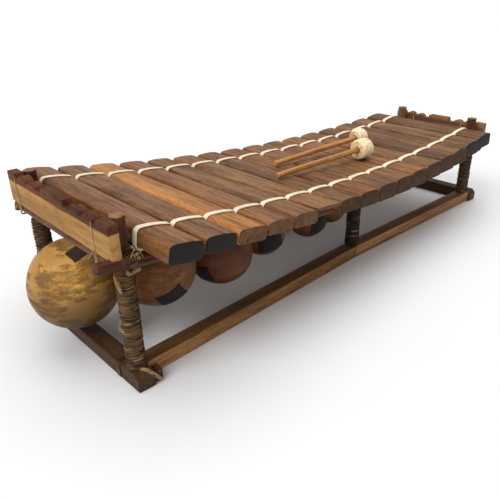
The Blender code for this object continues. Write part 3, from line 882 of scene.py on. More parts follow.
# -------------------------------------------------------------------- frame
@dataclass
class Timberwork:
    """Bottom rails, posts, side poles, cross sticks and carved end boards."""

    red: Wood = Wood("frame_rail_red", (0.095, 0.040, 0.015), (0.030, 0.012, 0.005), Grain.ALONG_Y, 0.5, 1.3)
    # The brown and tan rails carry painted shade on their tops, above 0.0235 m, for the keyboard's shadow.
    brown: Wood = Wood("frame_rail_brown", (0.460, 0.228, 0.080), (0.190, 0.084, 0.028), Grain.ALONG_X, 0.5, 2.1,
                       top_shade_from=0.0235)
    tan: Wood = Wood("frame_rail_tan", (0.500, 0.250, 0.090), (0.210, 0.096, 0.034), Grain.ALONG_X, 0.5, 5.2,
                     top_shade_from=0.0235)
    post: Wood = Wood("post_wood", (0.130, 0.046, 0.017), (0.040, 0.013, 0.005), Grain.ALONG_Z, 0.5, 4.4)
    pale_post: Wood = Wood(
        "post_wood_pale", (0.330, 0.175, 0.070), (0.150, 0.068, 0.026), Grain.ALONG_Z, 0.5, 8.8
    )
    stick: Wood = Wood("stick_wood", (0.230, 0.105, 0.048), (0.080, 0.032, 0.015), Grain.ALONG_Y, 0.55, 6.1)
    cut_top: Colour = (0.340, 0.185, 0.085)
    right_board_planed: float = 0.0120
    right_rail_sawn_off: float = 0.0090
    sap_share: float = 0.70
    knife_flats: int = 5
    pole_radius: float = 0.0092
    pole_inward: float = 0.0058
    pole_rise: float = 0.0050
    back_pole_start: float = -0.487
    rng: random.Random = field(default_factory=lambda: random.Random(19))

    def adopt(self, piece: bpy.types.Object, node: str) -> bpy.types.Object:
        """Hand a finished piece to the frame in place of its CAD node."""
        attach(piece, FRAME_BODY)
        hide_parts(node)
        return piece

    def rail(self, node: str, start: Vector, end: Vector, width: float, height: float,
             chamfer_front: bool = False) -> bpy.types.Object:
        """A planed bottom rail between two points on the floor.

        Args:
            node: the CAD node it stands for.
            start: centre of its first end, on the floor.
            end: centre of its other end, on the floor.
            width: its width.
            height: its height.
            chamfer_front: True for a rail whose first end is cut away on top.

        Returns:
            The rail.
        """
        run = end - start
        length = run.length
        rail = block(f"planed_{node}", (width, length, height), (0.0, length / 2, height / 2))
        stations = [length * share for share in (0.04, 0.22, 0.41, 0.6, 0.8, 0.96)]
        along = Vector((0.0, 1.0, 0.0))
        slice_along(rail, along, stations)
        if chamfer_front:
            for end_y in (0.0, length):
                round_edges(
                    rail,
                    lambda e, y=end_y: all(abs(v.co.y - y) < 1e-5 and v.co.z > height - 1e-5 for v in e.verts),
                    0.0085,
                    1,
                )
        round_edges(rail, lambda e: abs((e.verts[1].co - e.verts[0].co).normalized().y) > 0.99
                    and len({tuple(round(c) for c in f.normal) for f in e.link_faces}) > 1, 0.0016, 2)
        roughen(rail, along, stations, self.rng, 0.00018, 0.008)
        turn = Matrix.Rotation(math.atan2(-run.x, run.y), 4, "Z")
        return settle(rail, Matrix.Translation(start) @ turn)

    def build_rails(self) -> None:
        """Five bottom rails, the front one in two lengths that meet at the middle post."""
        for node, wood in (("bottom_rail_left", self.red), ("bottom_rail_right", self.red)):
            low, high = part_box(node)
            x = (low.x + high.x) / 2
            front = low.y + (self.right_rail_sawn_off if x > 0.0 else 0.0)
            start, end = Vector((x, front, 0)), Vector((x, high.y, 0))
            rail = self.rail(node, start, end, high.x - low.x, high.z, True)
            self.adopt(dress(rail, wood.material(), 30.0), node)
        skewed = (("bottom_rail_front_left", -1.0, self.brown), ("bottom_rail_back", 1.0, self.brown))
        for node, side, wood in skewed:
            low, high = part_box(node)
            wide = 0.025
            outer = max(abs(low.y), abs(high.y)) - wide / 2
            inner = min(abs(low.y), abs(high.y)) + wide / 2
            start = Vector((low.x + 0.0014, side * outer, 0.0))
            end = Vector((high.x - 0.0014, side * inner, 0.0))
            self.adopt(dress(self.rail(node, start, end, wide, high.z), wood.material(), 30.0), node)
        node = "bottom_rail_front_right"
        low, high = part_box(node)
        y = (low.y + high.y) / 2
        rail = self.rail(node, Vector((low.x, y, 0)), Vector((high.x, y, 0)), high.y - low.y, high.z)
        self.adopt(dress(rail, self.tan.material(), 30.0), node)

    def build_posts(self) -> None:
        """Six whittled posts with pale sawn tops."""
        top = EndGrain("post_top", self.cut_top, (0.150, 0.070, 0.030)).material()
        dark = self.post.material()
        pale = self.pale_post.material()
        for node in sorted(n for n in frame_nodes() if n.startswith("post_")):
            low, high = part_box(node)
            radius = (high.x - low.x) / 2
            post = rod(f"whittled_{node}", radius, high.z - low.z, 24)
            up = Vector((0.0, 0.0, 1.0))
            stations = [(high.z - low.z) * share for share in (0.2, 0.4, 0.6, 0.72, 0.84, 0.94)]
            slice_along(post, up, stations)
            self.whittle(post, radius)
            roughen(post, up, stations, self.rng, 0.0003, 0.02)
            rim = high.z - low.z
            round_edges(post, lambda e, z=rim: all(v.co.z > z - 1e-5 for v in e.verts), 0.0009, 2)
            dress(post, pale if node == "post_back_right" else dark, 28.0)
            post.data.materials.append(top)
            for face in post.data.polygons:
                if face.normal.z > 0.9:
                    face.material_index = 1
            middle = (low + high) / 2
            self.adopt(settle(post, Matrix.Translation((middle.x, middle.y, low.z))), node)

    def whittle(self, post: bpy.types.Object, radius: float) -> None:
        """Press a few knife flats into a round post."""
        for _ in range(self.knife_flats):
            angle = self.rng.uniform(0.0, 2.0 * math.pi)
            out = Vector((math.cos(angle), math.sin(angle), 0.0))
            depth = radius * self.rng.uniform(0.90, 0.95)
            choose(post)
            for vertex in post.data.vertices:
                over = vertex.co.dot(out) - depth
                if over > 0.0:
                    vertex.co -= out * over

    def build_poles(self) -> None:
        """Two hewn side poles that follow the keyboard's sag, and the sticks across their ends."""
        wood = Wood(
            "pole_wood", (0.135, 0.048, 0.019), (0.040, 0.014, 0.006), Grain.ALONG_X, 0.55, 7.7
        ).material()
        for node, side in (("side_pole_front", -1.0), ("side_pole_back", 1.0)):
            self.adopt(dress(self.pole(node, side), wood, 30.0), node)
        across = self.stick.material()
        for node in ("cross_stick_left", "cross_stick_right"):
            low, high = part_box(node)
            radius = (high.z - low.z) / 2 * 0.97
            stick = rod(f"peeled_{node}", radius, high.y - low.y, 12)
            up = Vector((0.0, 0.0, 1.0))
            stations = [(high.y - low.y) * share for share in (0.15, 0.35, 0.55, 0.75, 0.9)]
            slice_along(stick, up, stations)
            roughen(stick, up, stations, self.rng, 0.0004, 0.03)
            middle = (low + high) / 2
            lay = Matrix.Translation((middle.x, low.y, middle.z)) @ Matrix.Rotation(-math.pi / 2, 4, "X")
            self.adopt(dress(settle(stick, lay), across, 30.0), node)

    def pole(self, node: str, side: float) -> bpy.types.Object:
        """One hewn pole, a faceted tube of wavering thickness, along the CAD pole's own bend."""
        rings = [self.settled(point, side) for point in centre_line(node, 44)]
        if side > 0.0:
            rings = [point for point in rings if point.x > self.back_pole_start]
        radius = self.pole_radius
        radii = []
        for number, point in enumerate(rings):
            trimmed = 0.10 if number in (0, len(rings) - 1) else 0.0
            radii.append(0.95 + 0.035 * wander(point, 38.0) - trimmed)
        first = rings[0] - (rings[1] - rings[0]).normalized() * 0.0006
        return tube_mesh(f"hewn_{node}", [first, *rings], radius, sides=2, radii=[radii[0] * 0.9, *radii])

    def settled(self, point: Vector, side: float) -> Vector:
        """Where a pole's centre line really lies: hard against the posts, and higher at the low end."""
        if side > 0.0:
            return point
        rise = self.pole_rise * min(1.0, max(0.0, (0.05 - point.x) / 0.15))
        return point + Vector((0.0, self.pole_inward, rise))

    def build_boards(self) -> None:
        """The carved end boards: plain plank below, blocks and humps along the top."""
        for node, planed_off in (("end_board_left", 0.0), ("end_board_right", self.right_board_planed)):
            low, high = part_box(node)
            high = high - Vector((0.0, 0.0, planed_off))
            board = carve_board(node, low, high)
            if planed_off:
                below_board = low.z - 0.1
                finish = BoardWood(
                    f"{node}_wood", below_board, heart=(0.300, 0.140, 0.052), heart_dark=(0.105, 0.044, 0.017)
                )
            else:
                finish = BoardWood(f"{node}_wood", low.z + self.sap_share * (high.z - low.z))
            self.adopt(dress(board, finish.material(), 30.0), node)

    def build_corner_block(self) -> None:
        """The short stub wedged beside the left rail's front end."""
        low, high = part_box("bottom_rail_left")
        front_low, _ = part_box("bottom_rail_front_left")
        depth = front_low.y - low.y - 0.004
        size = (0.016, depth, 0.015)
        centre = (high.x + 0.0085, front_low.y - 0.0005 - depth / 2, 0.0082)
        stub = block("corner_stub", size, centre)
        round_edges(
            stub,
            lambda e: all(v.co.y < centre[1] for v in e.verts) and any(v.co.z > 0.01 for v in e.verts),
            0.0045,
            2,
        )
        round_edges(stub, lambda e: e.calc_length() > 0.006, 0.0009, 1)
        wood = Wood("stub_wood", (0.170, 0.070, 0.026), (0.055, 0.021, 0.008), Grain.ALONG_Y, 0.55, 9.3)
        dress(stub, wood.material())
        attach(stub, FRAME_BODY)

    def build(self) -> None:
        """Build all the timber."""
        self.build_rails()
        self.build_posts()
        self.build_poles()
        self.build_boards()
        self.build_corner_block()
        LOG.info("timberwork done")


def frame_nodes() -> list[str]:
    """Names of the CAD nodes."""
    return list(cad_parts)


def distinct_places(node: str) -> list[Vector]:
    """Places of a CAD node's vertices, each once."""
    seen = {tuple(round(value, 6) for value in v.co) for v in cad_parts[node].data.vertices}
    return [Vector(place) for place in sorted(seen)]


def middle_of(places: Sequence[Vector]) -> Vector:
    """Mean of some places."""
    return sum(places, Vector()) / len(places)


def centre_line(node: str, count: int) -> list[Vector]:
    """Middle of a long CAD piece's cross-sections, evenly spaced along X.

    Args:
        node: a CAD node that runs along X.
        count: how many points.

    Returns:
        The points, low end first.
    """
    rings: dict[int, list[Vector]] = {}
    vertices = sorted((v.co.copy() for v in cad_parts[node].data.vertices), key=lambda co: co.x)
    low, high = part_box(node)
    bins = 14
    step = (high.x - low.x) / bins
    for co in vertices:
        rings.setdefault(round((co.x - low.x) / step), []).append(co)
    middles = [(min(r, key=lambda c: c[i])[i] + max(r, key=lambda c: c[i])[i]) / 2
               for _, r in sorted(rings.items()) for i in range(3)]
    spots = [Vector(middles[i:i + 3]) for i in range(0, len(middles), 3)]
    points = []
    for number in range(count):
        share = number / (count - 1) * (len(spots) - 1)
        index = min(int(share), len(spots) - 2)
        points.append(spots[index].lerp(spots[index + 1], share - index))
    return points


def carve_board(node: str, low: Vector, high: Vector) -> bpy.types.Object:
    """Cut a board's outline and round its edges.

    Args:
        node: the CAD node it stands for.
        low: the node's lowest corner.
        high: the node's highest corner.

    Returns:
        The board, in place.
    """
    half = (high.y - low.y) / 2
    rise = 0.0120
    body = high.z - rise
    floor = 0.30 * rise
    right = [(0.20 * half, rise), (0.215 * half, rise * 0.9), (0.23 * half, floor), (0.31 * half, floor)]
    for middle, tall in ((0.44, 0.80), (0.66, 1.0)):
        for step in range(9):
            angle = math.pi * (1.0 - step / 8.0)
            right.append((half * (middle + 0.09 * math.cos(angle)), floor + tall * (rise - floor) * math.sin(angle)))
    right += [(0.80 * half, floor), (0.82 * half, rise * 0.95), (half, rise * 0.88)]
    outline = [(-y, z) for y, z in reversed(right)] + right
    points = [(-half, low.z)] + [(y, body + z) for y, z in outline] + [(half, low.z)]
    data = bpy.data.curves.new(node, "CURVE")
    data.dimensions = "2D"
    data.fill_mode = "BOTH"
    data.extrude = (high.x - low.x) / 2
    spline = data.splines.new("POLY")
    spline.points.add(len(points) - 1)
    for slot, (y, z) in zip(spline.points, points):
        slot.co = (y, z, 0.0, 1.0)
    spline.use_cyclic_u = True
    board = bpy.data.objects.new(f"carved_{node}", data)
    bpy.context.scene.collection.objects.link(board)
    board.matrix_world = Matrix(((0, 0, 1, (low.x + high.x) / 2), (1, 0, 0, 0), (0, 1, 0, 0), (0, 0, 0, 1)))
    choose(board)
    bpy.ops.object.convert(target="MESH")
    board = settle(bpy.context.active_object)
    bpy.ops.object.mode_set(mode="EDIT")
    bpy.ops.mesh.select_all(action="SELECT")
    bpy.ops.mesh.remove_doubles(threshold=0.00002)
    bpy.ops.mesh.normals_make_consistent(inside=False)
    to_object_mode()
    board.name = f"carved_{node}"
    round_edges(board, lambda e: len(e.link_faces) == 2 and e.calc_face_angle() > 1.2
                and abs(e.link_faces[0].normal.x) + abs(e.link_faces[1].normal.x) > 0.9, 0.0009, 2)
    return board


# ----------------------------------------------------------- cord work
@dataclass
class Windings:
    """Waxed twine wound round the posts, and the lashings that tie the frame's joints."""

    timber: Timberwork
    twine_radius: float = 0.00105
    fibre_radius: float = 0.00045
    strays: int = 18
    points_per_turn: int = 14
    dark: Thread = Thread("waxed_twine", (0.200, 0.112, 0.042), (0.016, 0.009, 0.004), 0.66, 0.7)
    black: Thread = Thread("tarred_twine", (0.060, 0.034, 0.016), (0.008, 0.005, 0.003), 0.66, 0.7)
    pale: Thread = Thread("pale_fibre", (0.520, 0.370, 0.190), (0.250, 0.155, 0.070), 0.75, 0.7)
    rng: random.Random = field(default_factory=lambda: random.Random(31))
    twine: bpy.types.Material = field(init=False)
    fibre: bpy.types.Material = field(init=False)
    tarred: bpy.types.Material = field(init=False)

    def __post_init__(self) -> None:
        """Mix the three finishes that the bindings share."""
        self.twine = self.dark.material()
        self.fibre = self.pale.material()
        self.tarred = self.black.material()

    def helix(self, centre: Vector, radius: float, bottom: float, top: float, pitch: float, seed: float,
              flare: float) -> list[Vector]:
        """Points of one winding, wavering in radius and spacing.

        Args:
            centre: a point on the post's axis.
            radius: mean radius of the twine's centre line.
            bottom: lowest height.
            top: highest height.
            pitch: rise per turn.
            seed: where the wavering starts.
            flare: extra radius at the foot.

        Returns:
            The points, foot first.
        """
        turns = (top - bottom) / pitch
        count = int(turns * self.points_per_turn)
        points = []
        for number in range(count + 1):
            share = number / count
            angle = 2.0 * math.pi * turns * share + seed
            z = bottom + (top - bottom) * share
            z += 0.0007 * math.sin(angle + seed) + 0.0005 * noise.noise(Vector((angle * 0.31, seed, 2.0)))
            swell = 0.00075 * noise.noise(Vector((seed, z * 70.0, 0.3 * math.cos(angle))))
            foot = flare * max(0.0, 1.0 - (z - bottom) / 0.012) ** 2
            grown = radius + swell + foot
            points.append(Vector((centre.x + grown * math.cos(angle), centre.y + grown * math.sin(angle), z)))
        return points

    def wind(self, node: str) -> None:
        """Wind one post: a close layer, and a few open turns over it."""
        low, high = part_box(node)
        centre = (low + high) / 2
        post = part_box(node.replace("winding", "post"))
        inner = (post[1].x - post[0].x) / 2
        thread = self.twine_radius
        seed = self.rng.uniform(0.0, 6.0)
        foot = low.z + thread
        flare = 0.0022
        close = self.helix(centre, inner + thread + 0.0006, foot, high.z - thread, 2.05 * thread, seed, flare)
        over = self.helix(
            centre, inner + 2.6 * thread, foot + 0.002, high.z - 0.004, 0.0052, seed + 2.0, flare
        )
        back = self.helix(centre, inner + 2.9 * thread, foot + 0.010, high.z - 0.020, 0.0115, -seed, 0.0)
        parts = [
            tube_mesh("close", close, thread),
            tube_mesh("over", over, thread * 0.9),
            tube_mesh("back", back, thread * 0.75),
        ]
        core = rod("core", inner + thread * 0.9, high.z - low.z - 0.002, 20)
        settle(core, Matrix.Translation((centre.x, centre.y, low.z + 0.001)))
        cloth = self.tarred if node == "winding_front_middle" else self.twine
        piece = dress(merge(f"wound_{node}", parts + [core]), cloth, 60.0)
        strays = []
        for _ in range(self.strays):
            start = foot + (high.z - foot) * self.rng.uniform(0.04, 0.92)
            rise = self.rng.uniform(0.0007, 0.0014)
            around = self.rng.uniform(0.0, 2.0 * math.pi)
            stray = self.helix(centre, inner + 3.2 * thread, start, start + rise, 0.0052, around, 0.0)
            strays.append(tube_mesh("stray", stray, self.fibre_radius))
        pale = dress(merge(f"strays_{node}", strays), self.fibre, 60.0)
        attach(pale, FRAME_BODY)
        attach(piece, FRAME_BODY)
        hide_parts(node)

    def ring(self, centre: Vector, width: float, height: float, corner: float, turn: Matrix, radius: float,
             lift: float = 0.0) -> bpy.types.Object:
        """A tight closed loop of twine round a rounded rectangle."""
        raised = Vector((0.0, lift, 0.0))
        points = [centre + turn @ (point + raised) for point in rounded_ring(width, height, corner)]
        return tube_mesh("ring", points, radius, closed=True)

    def lash_corner(self, post_node: str, pole_node: str, side: float) -> bpy.types.Object:
        """Turns that bind a side pole to the outside of a post, and a few round the post above it.

        Args:
            post_node: the post's CAD node.
            pole_node: the pole's CAD node.
            side: -1 at the front, 1 at the back.

        Returns:
            The lashing.
        """
        low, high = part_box(post_node)
        middle = (low + high) / 2
        radius = (high.x - low.x) / 2
        pole = self.timber.settled(min(centre_line(pole_node, 60), key=lambda p: abs(p.x - middle.x)), side)
        thread = self.twine_radius
        outer = abs(pole.y) + self.timber.pole_radius
        inner = abs(middle.y) - radius
        centre = Vector((middle.x, side * (outer + inner) / 2, pole.z))
        upright = Matrix.Rotation(math.pi / 2, 3, "Z")
        parts = []
        for number in range(5):
            x = (number - 2) * 1.9 * thread
            tall = 2 * self.timber.pole_radius + 2.6 * thread
            lean = Matrix.Rotation(0.22 * (number - 2), 3, "Y") @ upright
            parts.append(self.ring(centre + Vector((x * 0.8, 0.0, 0.0)), outer - inner + 2.4 * thread,
                                   tall + 0.0006 * number, 0.007, lean, thread * 0.9))
        above = pole.z + self.timber.pole_radius + thread
        for number in range(4 if above + 0.010 < high.z else 0):
            ring_z = above + number * 1.9 * thread
            points = []
            for step in range(24):
                angle = 2.0 * math.pi * step / 24
                wide = radius + thread * (1.0 + 0.3 * math.sin(2.0 * angle + number))
                points.append(Vector((middle.x + wide * math.cos(angle), middle.y + wide * math.sin(angle),
                                      ring_z + 0.0008 * math.sin(angle + number))))
            parts.append(tube_mesh("post_turn", points, thread * 0.9, closed=True))
        return merge(f"lashing_{post_node}", parts)

    def frayed(self, post_node: str) -> bpy.types.Object:
        """Pale fibres that stick out of the front left lashing and its winding."""
        low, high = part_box(post_node)
        middle = (low + high) / 2
        near = Vector((middle.x + 0.004, low.y - 0.013, 0.196))
        parts = []
        for _ in range(7):
            reach = Vector((self.rng.uniform(-0.004, 0.020), self.rng.uniform(-0.010, 0.001),
                            self.rng.uniform(-0.014, 0.012)))
            spot = near + Vector((self.rng.uniform(-0.006, 0.006), 0.0, self.rng.uniform(-0.006, 0.008)))
            parts.append(self.tail(spot, reach, self.fibre_radius))
        edge = low.x - 0.0035
        for top, bottom, out in ((0.1030, 0.0860, 0.0060), (0.0990, 0.0870, 0.0045)):
            loop = []
            for step in range(17):
                share = step / 16
                bulge = math.sin(math.pi * share) ** 0.6 * out
                loop.append(Vector((edge - bulge, middle.y - 0.004 * share, top + (bottom - top) * share)))
            parts.append(tube_mesh("fibre_loop", loop, self.fibre_radius))
        return merge("frayed_fibres", parts)

    def wedge_and_peg(self, post_node: str) -> None:
        """A split wedge driven under the front pole, and a pointed peg beside the winding's top."""
        low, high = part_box(post_node)
        middle = (low + high) / 2
        wood = Wood(
            "split_wood", (0.400, 0.230, 0.090), (0.190, 0.100, 0.038), Grain.ALONG_X, 0.6, 3.3
        ).material()
        wedge = block("split_wedge", (0.019, 0.0075, 0.0075), (middle.x + 0.005, low.y - 0.0048, 0.1752))
        round_edges(wedge, lambda e: e.calc_length() > 0.001, 0.0009, 1)
        for vertex in wedge.data.vertices:
            if vertex.co.x > middle.x + 0.005 and vertex.co.z < 0.1752:
                vertex.co.z += 0.0020
        lower = Vector((low.x - 0.0030, low.y + 0.0006, 0.1480))
        upper = Vector((low.x - 0.0105, low.y - 0.0010, 0.1775))
        points = [lower.lerp(upper, step / 8) for step in range(9)]
        peg = tube_mesh("pointed_peg", points, 0.0029, sides=2,
                        radii=[0.55, 0.75, 0.9, 1.0, 1.0, 0.9, 0.7, 0.45, 0.15])
        for piece in (wedge, peg):
            dress(piece, wood, 30.0)
            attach(piece, FRAME_BODY)

    def tail(self, start: Vector, reach: Vector, radius: float) -> bpy.types.Object:
        """A short cut end of cord that curls out of a knot."""
        points = []
        for step in range(9):
            share = step / 8
            curl = Vector((0.0025 * math.sin(3.0 * share), 0.0, 0.004 * math.sin(math.pi * share)))
            points.append(start + reach * share + curl)
        return tube_mesh("tail", points, radius)

    def board_ties(self) -> None:
        """Thin cord round each end board and the stick under it, near both ends, with a frayed end."""
        for board, stick, ends, planed_off in (
            ("end_board_left", "cross_stick_left", (-0.111, 0.121), 0.0),
            ("end_board_right", "cross_stick_right", (-0.062, 0.066), self.timber.right_board_planed),
        ):
            low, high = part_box(board)
            stick_low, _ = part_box(stick)
            thin = self.twine_radius * 0.50
            parts = []
            top = high.z - planed_off - 0.0080
            for y in ends:
                for number in range(3):
                    middle = Vector(((low.x + high.x) / 2, y + number * 0.0012, (top + stick_low.z) / 2))
                    lean = Matrix.Rotation(0.04 * (number - 1), 3, "X")
                    wide, tall = high.x - low.x + 2.2 * thin, top - stick_low.z + 2 * thin
                    parts.append(self.ring(middle, wide, tall, 0.0012, lean, thin))
                knot = Vector((low.x - 0.0012, y, low.z + 0.004))
                for reach in ((-0.006, 0.009, -0.013), (-0.003, -0.007, -0.017), (-0.008, 0.002, -0.009)):
                    parts.append(self.tail(knot, Vector(reach), thin * 0.8))
            piece = dress(merge(f"ties_{board}", parts), self.fibre, 60.0)
            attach(piece, FRAME_BODY)

    def foot_ties(self) -> None:
        """Turns round the left rail behind its post, and the pale tie across its front corner."""
        low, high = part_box("bottom_rail_left")
        parts = []
        for side in (-1.0, 1.0):
            for number in range(4):
                y = side * (abs(low.y) - 0.0475 - number * 0.0021)
                middle = Vector(((low.x + high.x) / 2, y, high.z / 2 + 0.0006))
                wide = high.x - low.x + 2.0 * self.twine_radius
                upright, thread = Matrix.Identity(3), self.twine_radius * 0.85
                parts.append(self.ring(middle, wide, high.z - 0.0010, 0.003, upright, thread))
        piece = dress(merge("rail_turns", parts), self.twine, 60.0)
        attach(piece, FRAME_BODY)
        x = high.x
        y = low.y
        route = [
            Vector((x - 0.014, y + 0.0135, high.z + 0.0022)),
            Vector((x - 0.009, y + 0.0080, high.z + 0.0010)),
            Vector((x - 0.003, y + 0.0030, high.z - 0.0045)),
            Vector((x + 0.002, y + 0.0005, high.z - 0.0110)),
            Vector((x + 0.007, y + 0.0002, high.z - 0.0180)),
            Vector((x + 0.010, y + 0.0014, high.z - 0.0225)),
        ]
        strands = []
        for offset in (-0.0011, 0.0011):
            beside = Vector((offset, 0.0, offset * 0.6))
            strands.append(tube_mesh("strand", [point + beside for point in route], 0.0012, sides=2))
        tie = dress(merge("corner_tie", strands), self.fibre, 60.0)
        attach(tie, FRAME_BODY)

    def build(self) -> None:
        """Wind the posts and tie the joints."""
        for node in sorted(n for n in frame_nodes() if n.startswith("winding_")):
            self.wind(node)
        for post, pole, side in (
            ("post_front_left", "side_pole_front", -1.0),
            ("post_back_left", "side_pole_back", 1.0),
            ("post_front_middle", "side_pole_front", -1.0),
            ("post_front_right", "side_pole_front", -1.0),
            ("post_back_right", "side_pole_back", 1.0),
        ):
            piece = dress(self.lash_corner(post, pole, side), self.twine, 60.0)
            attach(piece, FRAME_BODY)
        frayed = dress(self.frayed("post_front_left"), self.fibre, 60.0)
        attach(frayed, FRAME_BODY)
        self.wedge_and_peg("post_front_left")
        self.board_ties()
        self.foot_ties()
        LOG.info("windings and lashings done")


# ------------------------------------------------------------------- gourds
class SkinTone(Enum):
    """Colours of the gourds: light, middle, dark and how strongly blotched."""

    OCHRE = ((0.740, 0.390, 0.074), (0.420, 0.212, 0.048), (0.140, 0.068, 0.023), 0.88)
    # TAN and RUSSET are partly the gourds' own browner skin and partly painted shade for gourds hanging in the
    # shadow under the keyboard.
    TAN = ((0.230, 0.088, 0.016), (0.130, 0.044, 0.009), (0.042, 0.014, 0.004), 0.60)
    RUSSET = ((0.185, 0.050, 0.009), (0.100, 0.025, 0.005), (0.036, 0.010, 0.003), 0.40)


@dataclass
class Gourd:
    """One hollow gourd, a little lopsided, with its mouth cut open."""

    node: str
    tone: SkinTone
    mouth: float = 0.62
    wall: float = 0.0028
    squash: float = 0.97
    tilt: float = 0.0
    bulge: float = 0.014
    broad: float = 1.0

    def centre_and_radius(self) -> tuple[Vector, float]:
        """Centre and radius of the round body, from the CAD node."""
        low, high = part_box(self.node)
        radius = (high.y - low.y) / 2 / 0.985
        if self.tilt:
            points = distinct_places(self.node)
            middle = middle_of(points)
            axis = Vector((math.sin(self.tilt), 0.0, math.cos(self.tilt)))
            lowest = min(points, key=lambda p: (p - middle).dot(axis))
            return lowest + axis * radius * self.squash, radius
        return Vector(((low.x + high.x) / 2, (low.y + high.y) / 2, low.z + radius * self.squash)), radius

    def build(self) -> bpy.types.Object:
        """Model the shell from a sphere: open the mouth, pull the skin about and thicken it.

        Returns:
            The gourd.
        """
        centre, radius = self.centre_and_radius()
        to_object_mode()
        bpy.ops.mesh.primitive_uv_sphere_add(segments=64, ring_count=40, radius=radius)
        gourd = bpy.context.active_object
        gourd.name = f"grown_{self.node}"
        rim = radius * math.cos(math.asin(self.mouth))
        pick(gourd, "verts", lambda v: v.co.z > rim + 1e-6)
        bpy.ops.mesh.delete(type="VERT")
        to_object_mode()
        for vertex in gourd.data.vertices:
            direction = vertex.co.normalized()
            broad = wander(direction + centre * 20.0, 1.6) * self.bulge
            lump = broad + wander(direction + centre * 9.0, 5.0) * 0.004
            vertex.co *= 1.0 + min(lump, 0.012)
            vertex.co.z *= self.squash
        shell = gourd.modifiers.new("shell", "SOLIDIFY")
        shell.thickness = self.wall
        shell.offset = -1.0
        choose(gourd)
        bpy.ops.object.modifier_apply(modifier=shell.name)
        light, middle, dark, blotch = self.tone.value
        skin = GourdSkin(f"{self.node}_skin", light, middle, dark, blotch).material()
        dress(gourd, skin, 60.0)
        widen = Matrix.Scale(self.broad, 4, Vector((1.0, 0.0, 0.0)))
        settle(gourd, Matrix.Translation(centre) @ widen @ Matrix.Rotation(self.tilt, 4, "Y"))
        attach(gourd, FRAME_BODY)
        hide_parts(self.node)
        return gourd

    def patch(self, name: str, facing: Vector, across: float, tall: float, twist: float,
              wax: bpy.types.Material, gourd: bpy.types.Object) -> None:
        """Press a thin wax patch onto the gourd's skin.

        Args:
            name: the piece's name.
            facing: direction from the gourd's centre.
            across: the patch's width.
            tall: its height.
            twist: turn about its own middle.
            wax: its material.
            gourd: the finished gourd to lie on.
        """
        centre, radius = self.centre_and_radius()
        facing = facing.normalized()
        to_object_mode()
        bpy.ops.mesh.primitive_grid_add(x_subdivisions=14, y_subdivisions=14, size=1.0)
        sheet = bpy.context.active_object
        sheet.name = name
        frame = facing.to_track_quat("Z", "Y").to_matrix() @ Matrix.Rotation(twist, 3, "Z")
        for vertex in sheet.data.vertices:
            ragged = 1.0 + 0.05 * wander(Vector((vertex.co.x * 4, vertex.co.y * 4, across * 90)), 1.0)
            flat = Vector((vertex.co.x * across * ragged, vertex.co.y * tall * ragged, radius * 1.4))
            start = centre + frame @ flat
            hit, place, normal, _ = gourd.ray_cast(start, -facing)
            lump = 0.0003 * wander(start, 300.0)
            vertex.co = (place + normal * (0.0008 + lump)) if hit else start
        thick = sheet.modifiers.new("thick", "SOLIDIFY")
        thick.thickness = 0.0012
        thick.offset = -0.6
        choose(sheet)
        bpy.ops.object.modifier_apply(modifier=thick.name)
        dress(sheet, wax, 50.0)
        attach(sheet, FRAME_BODY)


@dataclass
class GourdRows:
    """Two rows of gourds and the wax patches on those that buzz."""

    first_tilt: float = math.radians(52.0)
    first_broad: float = 1.09

    def tone(self, node: str) -> SkinTone:
        """Skin of one gourd."""
        if node == "gourd_back_1":
            return SkinTone.OCHRE
        # Only the first back gourd, which stands out in the light, gets the bright skin; the darker skins of the
        # others are partly painted shade.
        return SkinTone.TAN if node in ("gourd_front_1", "gourd_back_3", "gourd_front_5") else SkinTone.RUSSET

    def build(self) -> None:
        """Build every gourd, then the patches that show."""
        made: dict[str, tuple[Gourd, bpy.types.Object]] = {}
        for node in sorted(n for n in frame_nodes() if n.startswith("gourd_")):
            gourd = Gourd(node, self.tone(node))
            if node == "gourd_back_1":
                gourd = Gourd(node, self.tone(node), tilt=self.first_tilt, broad=self.first_broad)
            made[node] = (gourd, gourd.build())
        wax = Resin().material()
        worn = Resin("worn_wax", (0.060, 0.034, 0.015), (0.016, 0.011, 0.006)).material()
        plan = (
            ("gourd_back_1", Vector((-0.03, -0.44, 0.88)), 0.026, 0.020, 0.35),
            ("gourd_front_1", Vector((-0.10, -0.86, -0.52)), 0.038, 0.036, 0.60),
            ("gourd_front_2", Vector((-0.90, -0.28, -0.36)), 0.026, 0.028, 0.20),
            ("gourd_front_3", Vector((-0.35, -0.92, -0.02)), 0.042, 0.036, 0.20),
            ("gourd_front_4", Vector((-0.10, -0.98, -0.05)), 0.034, 0.030, 0.10),
        )
        for node, facing, across, tall, twist in plan:
            gourd, shell = made[node]
            gourd.patch(f"wax_on_{node}", facing, across, tall, twist, worn if gourd.tilt else wax, shell)
        LOG.info("gourds: %d", len(made))


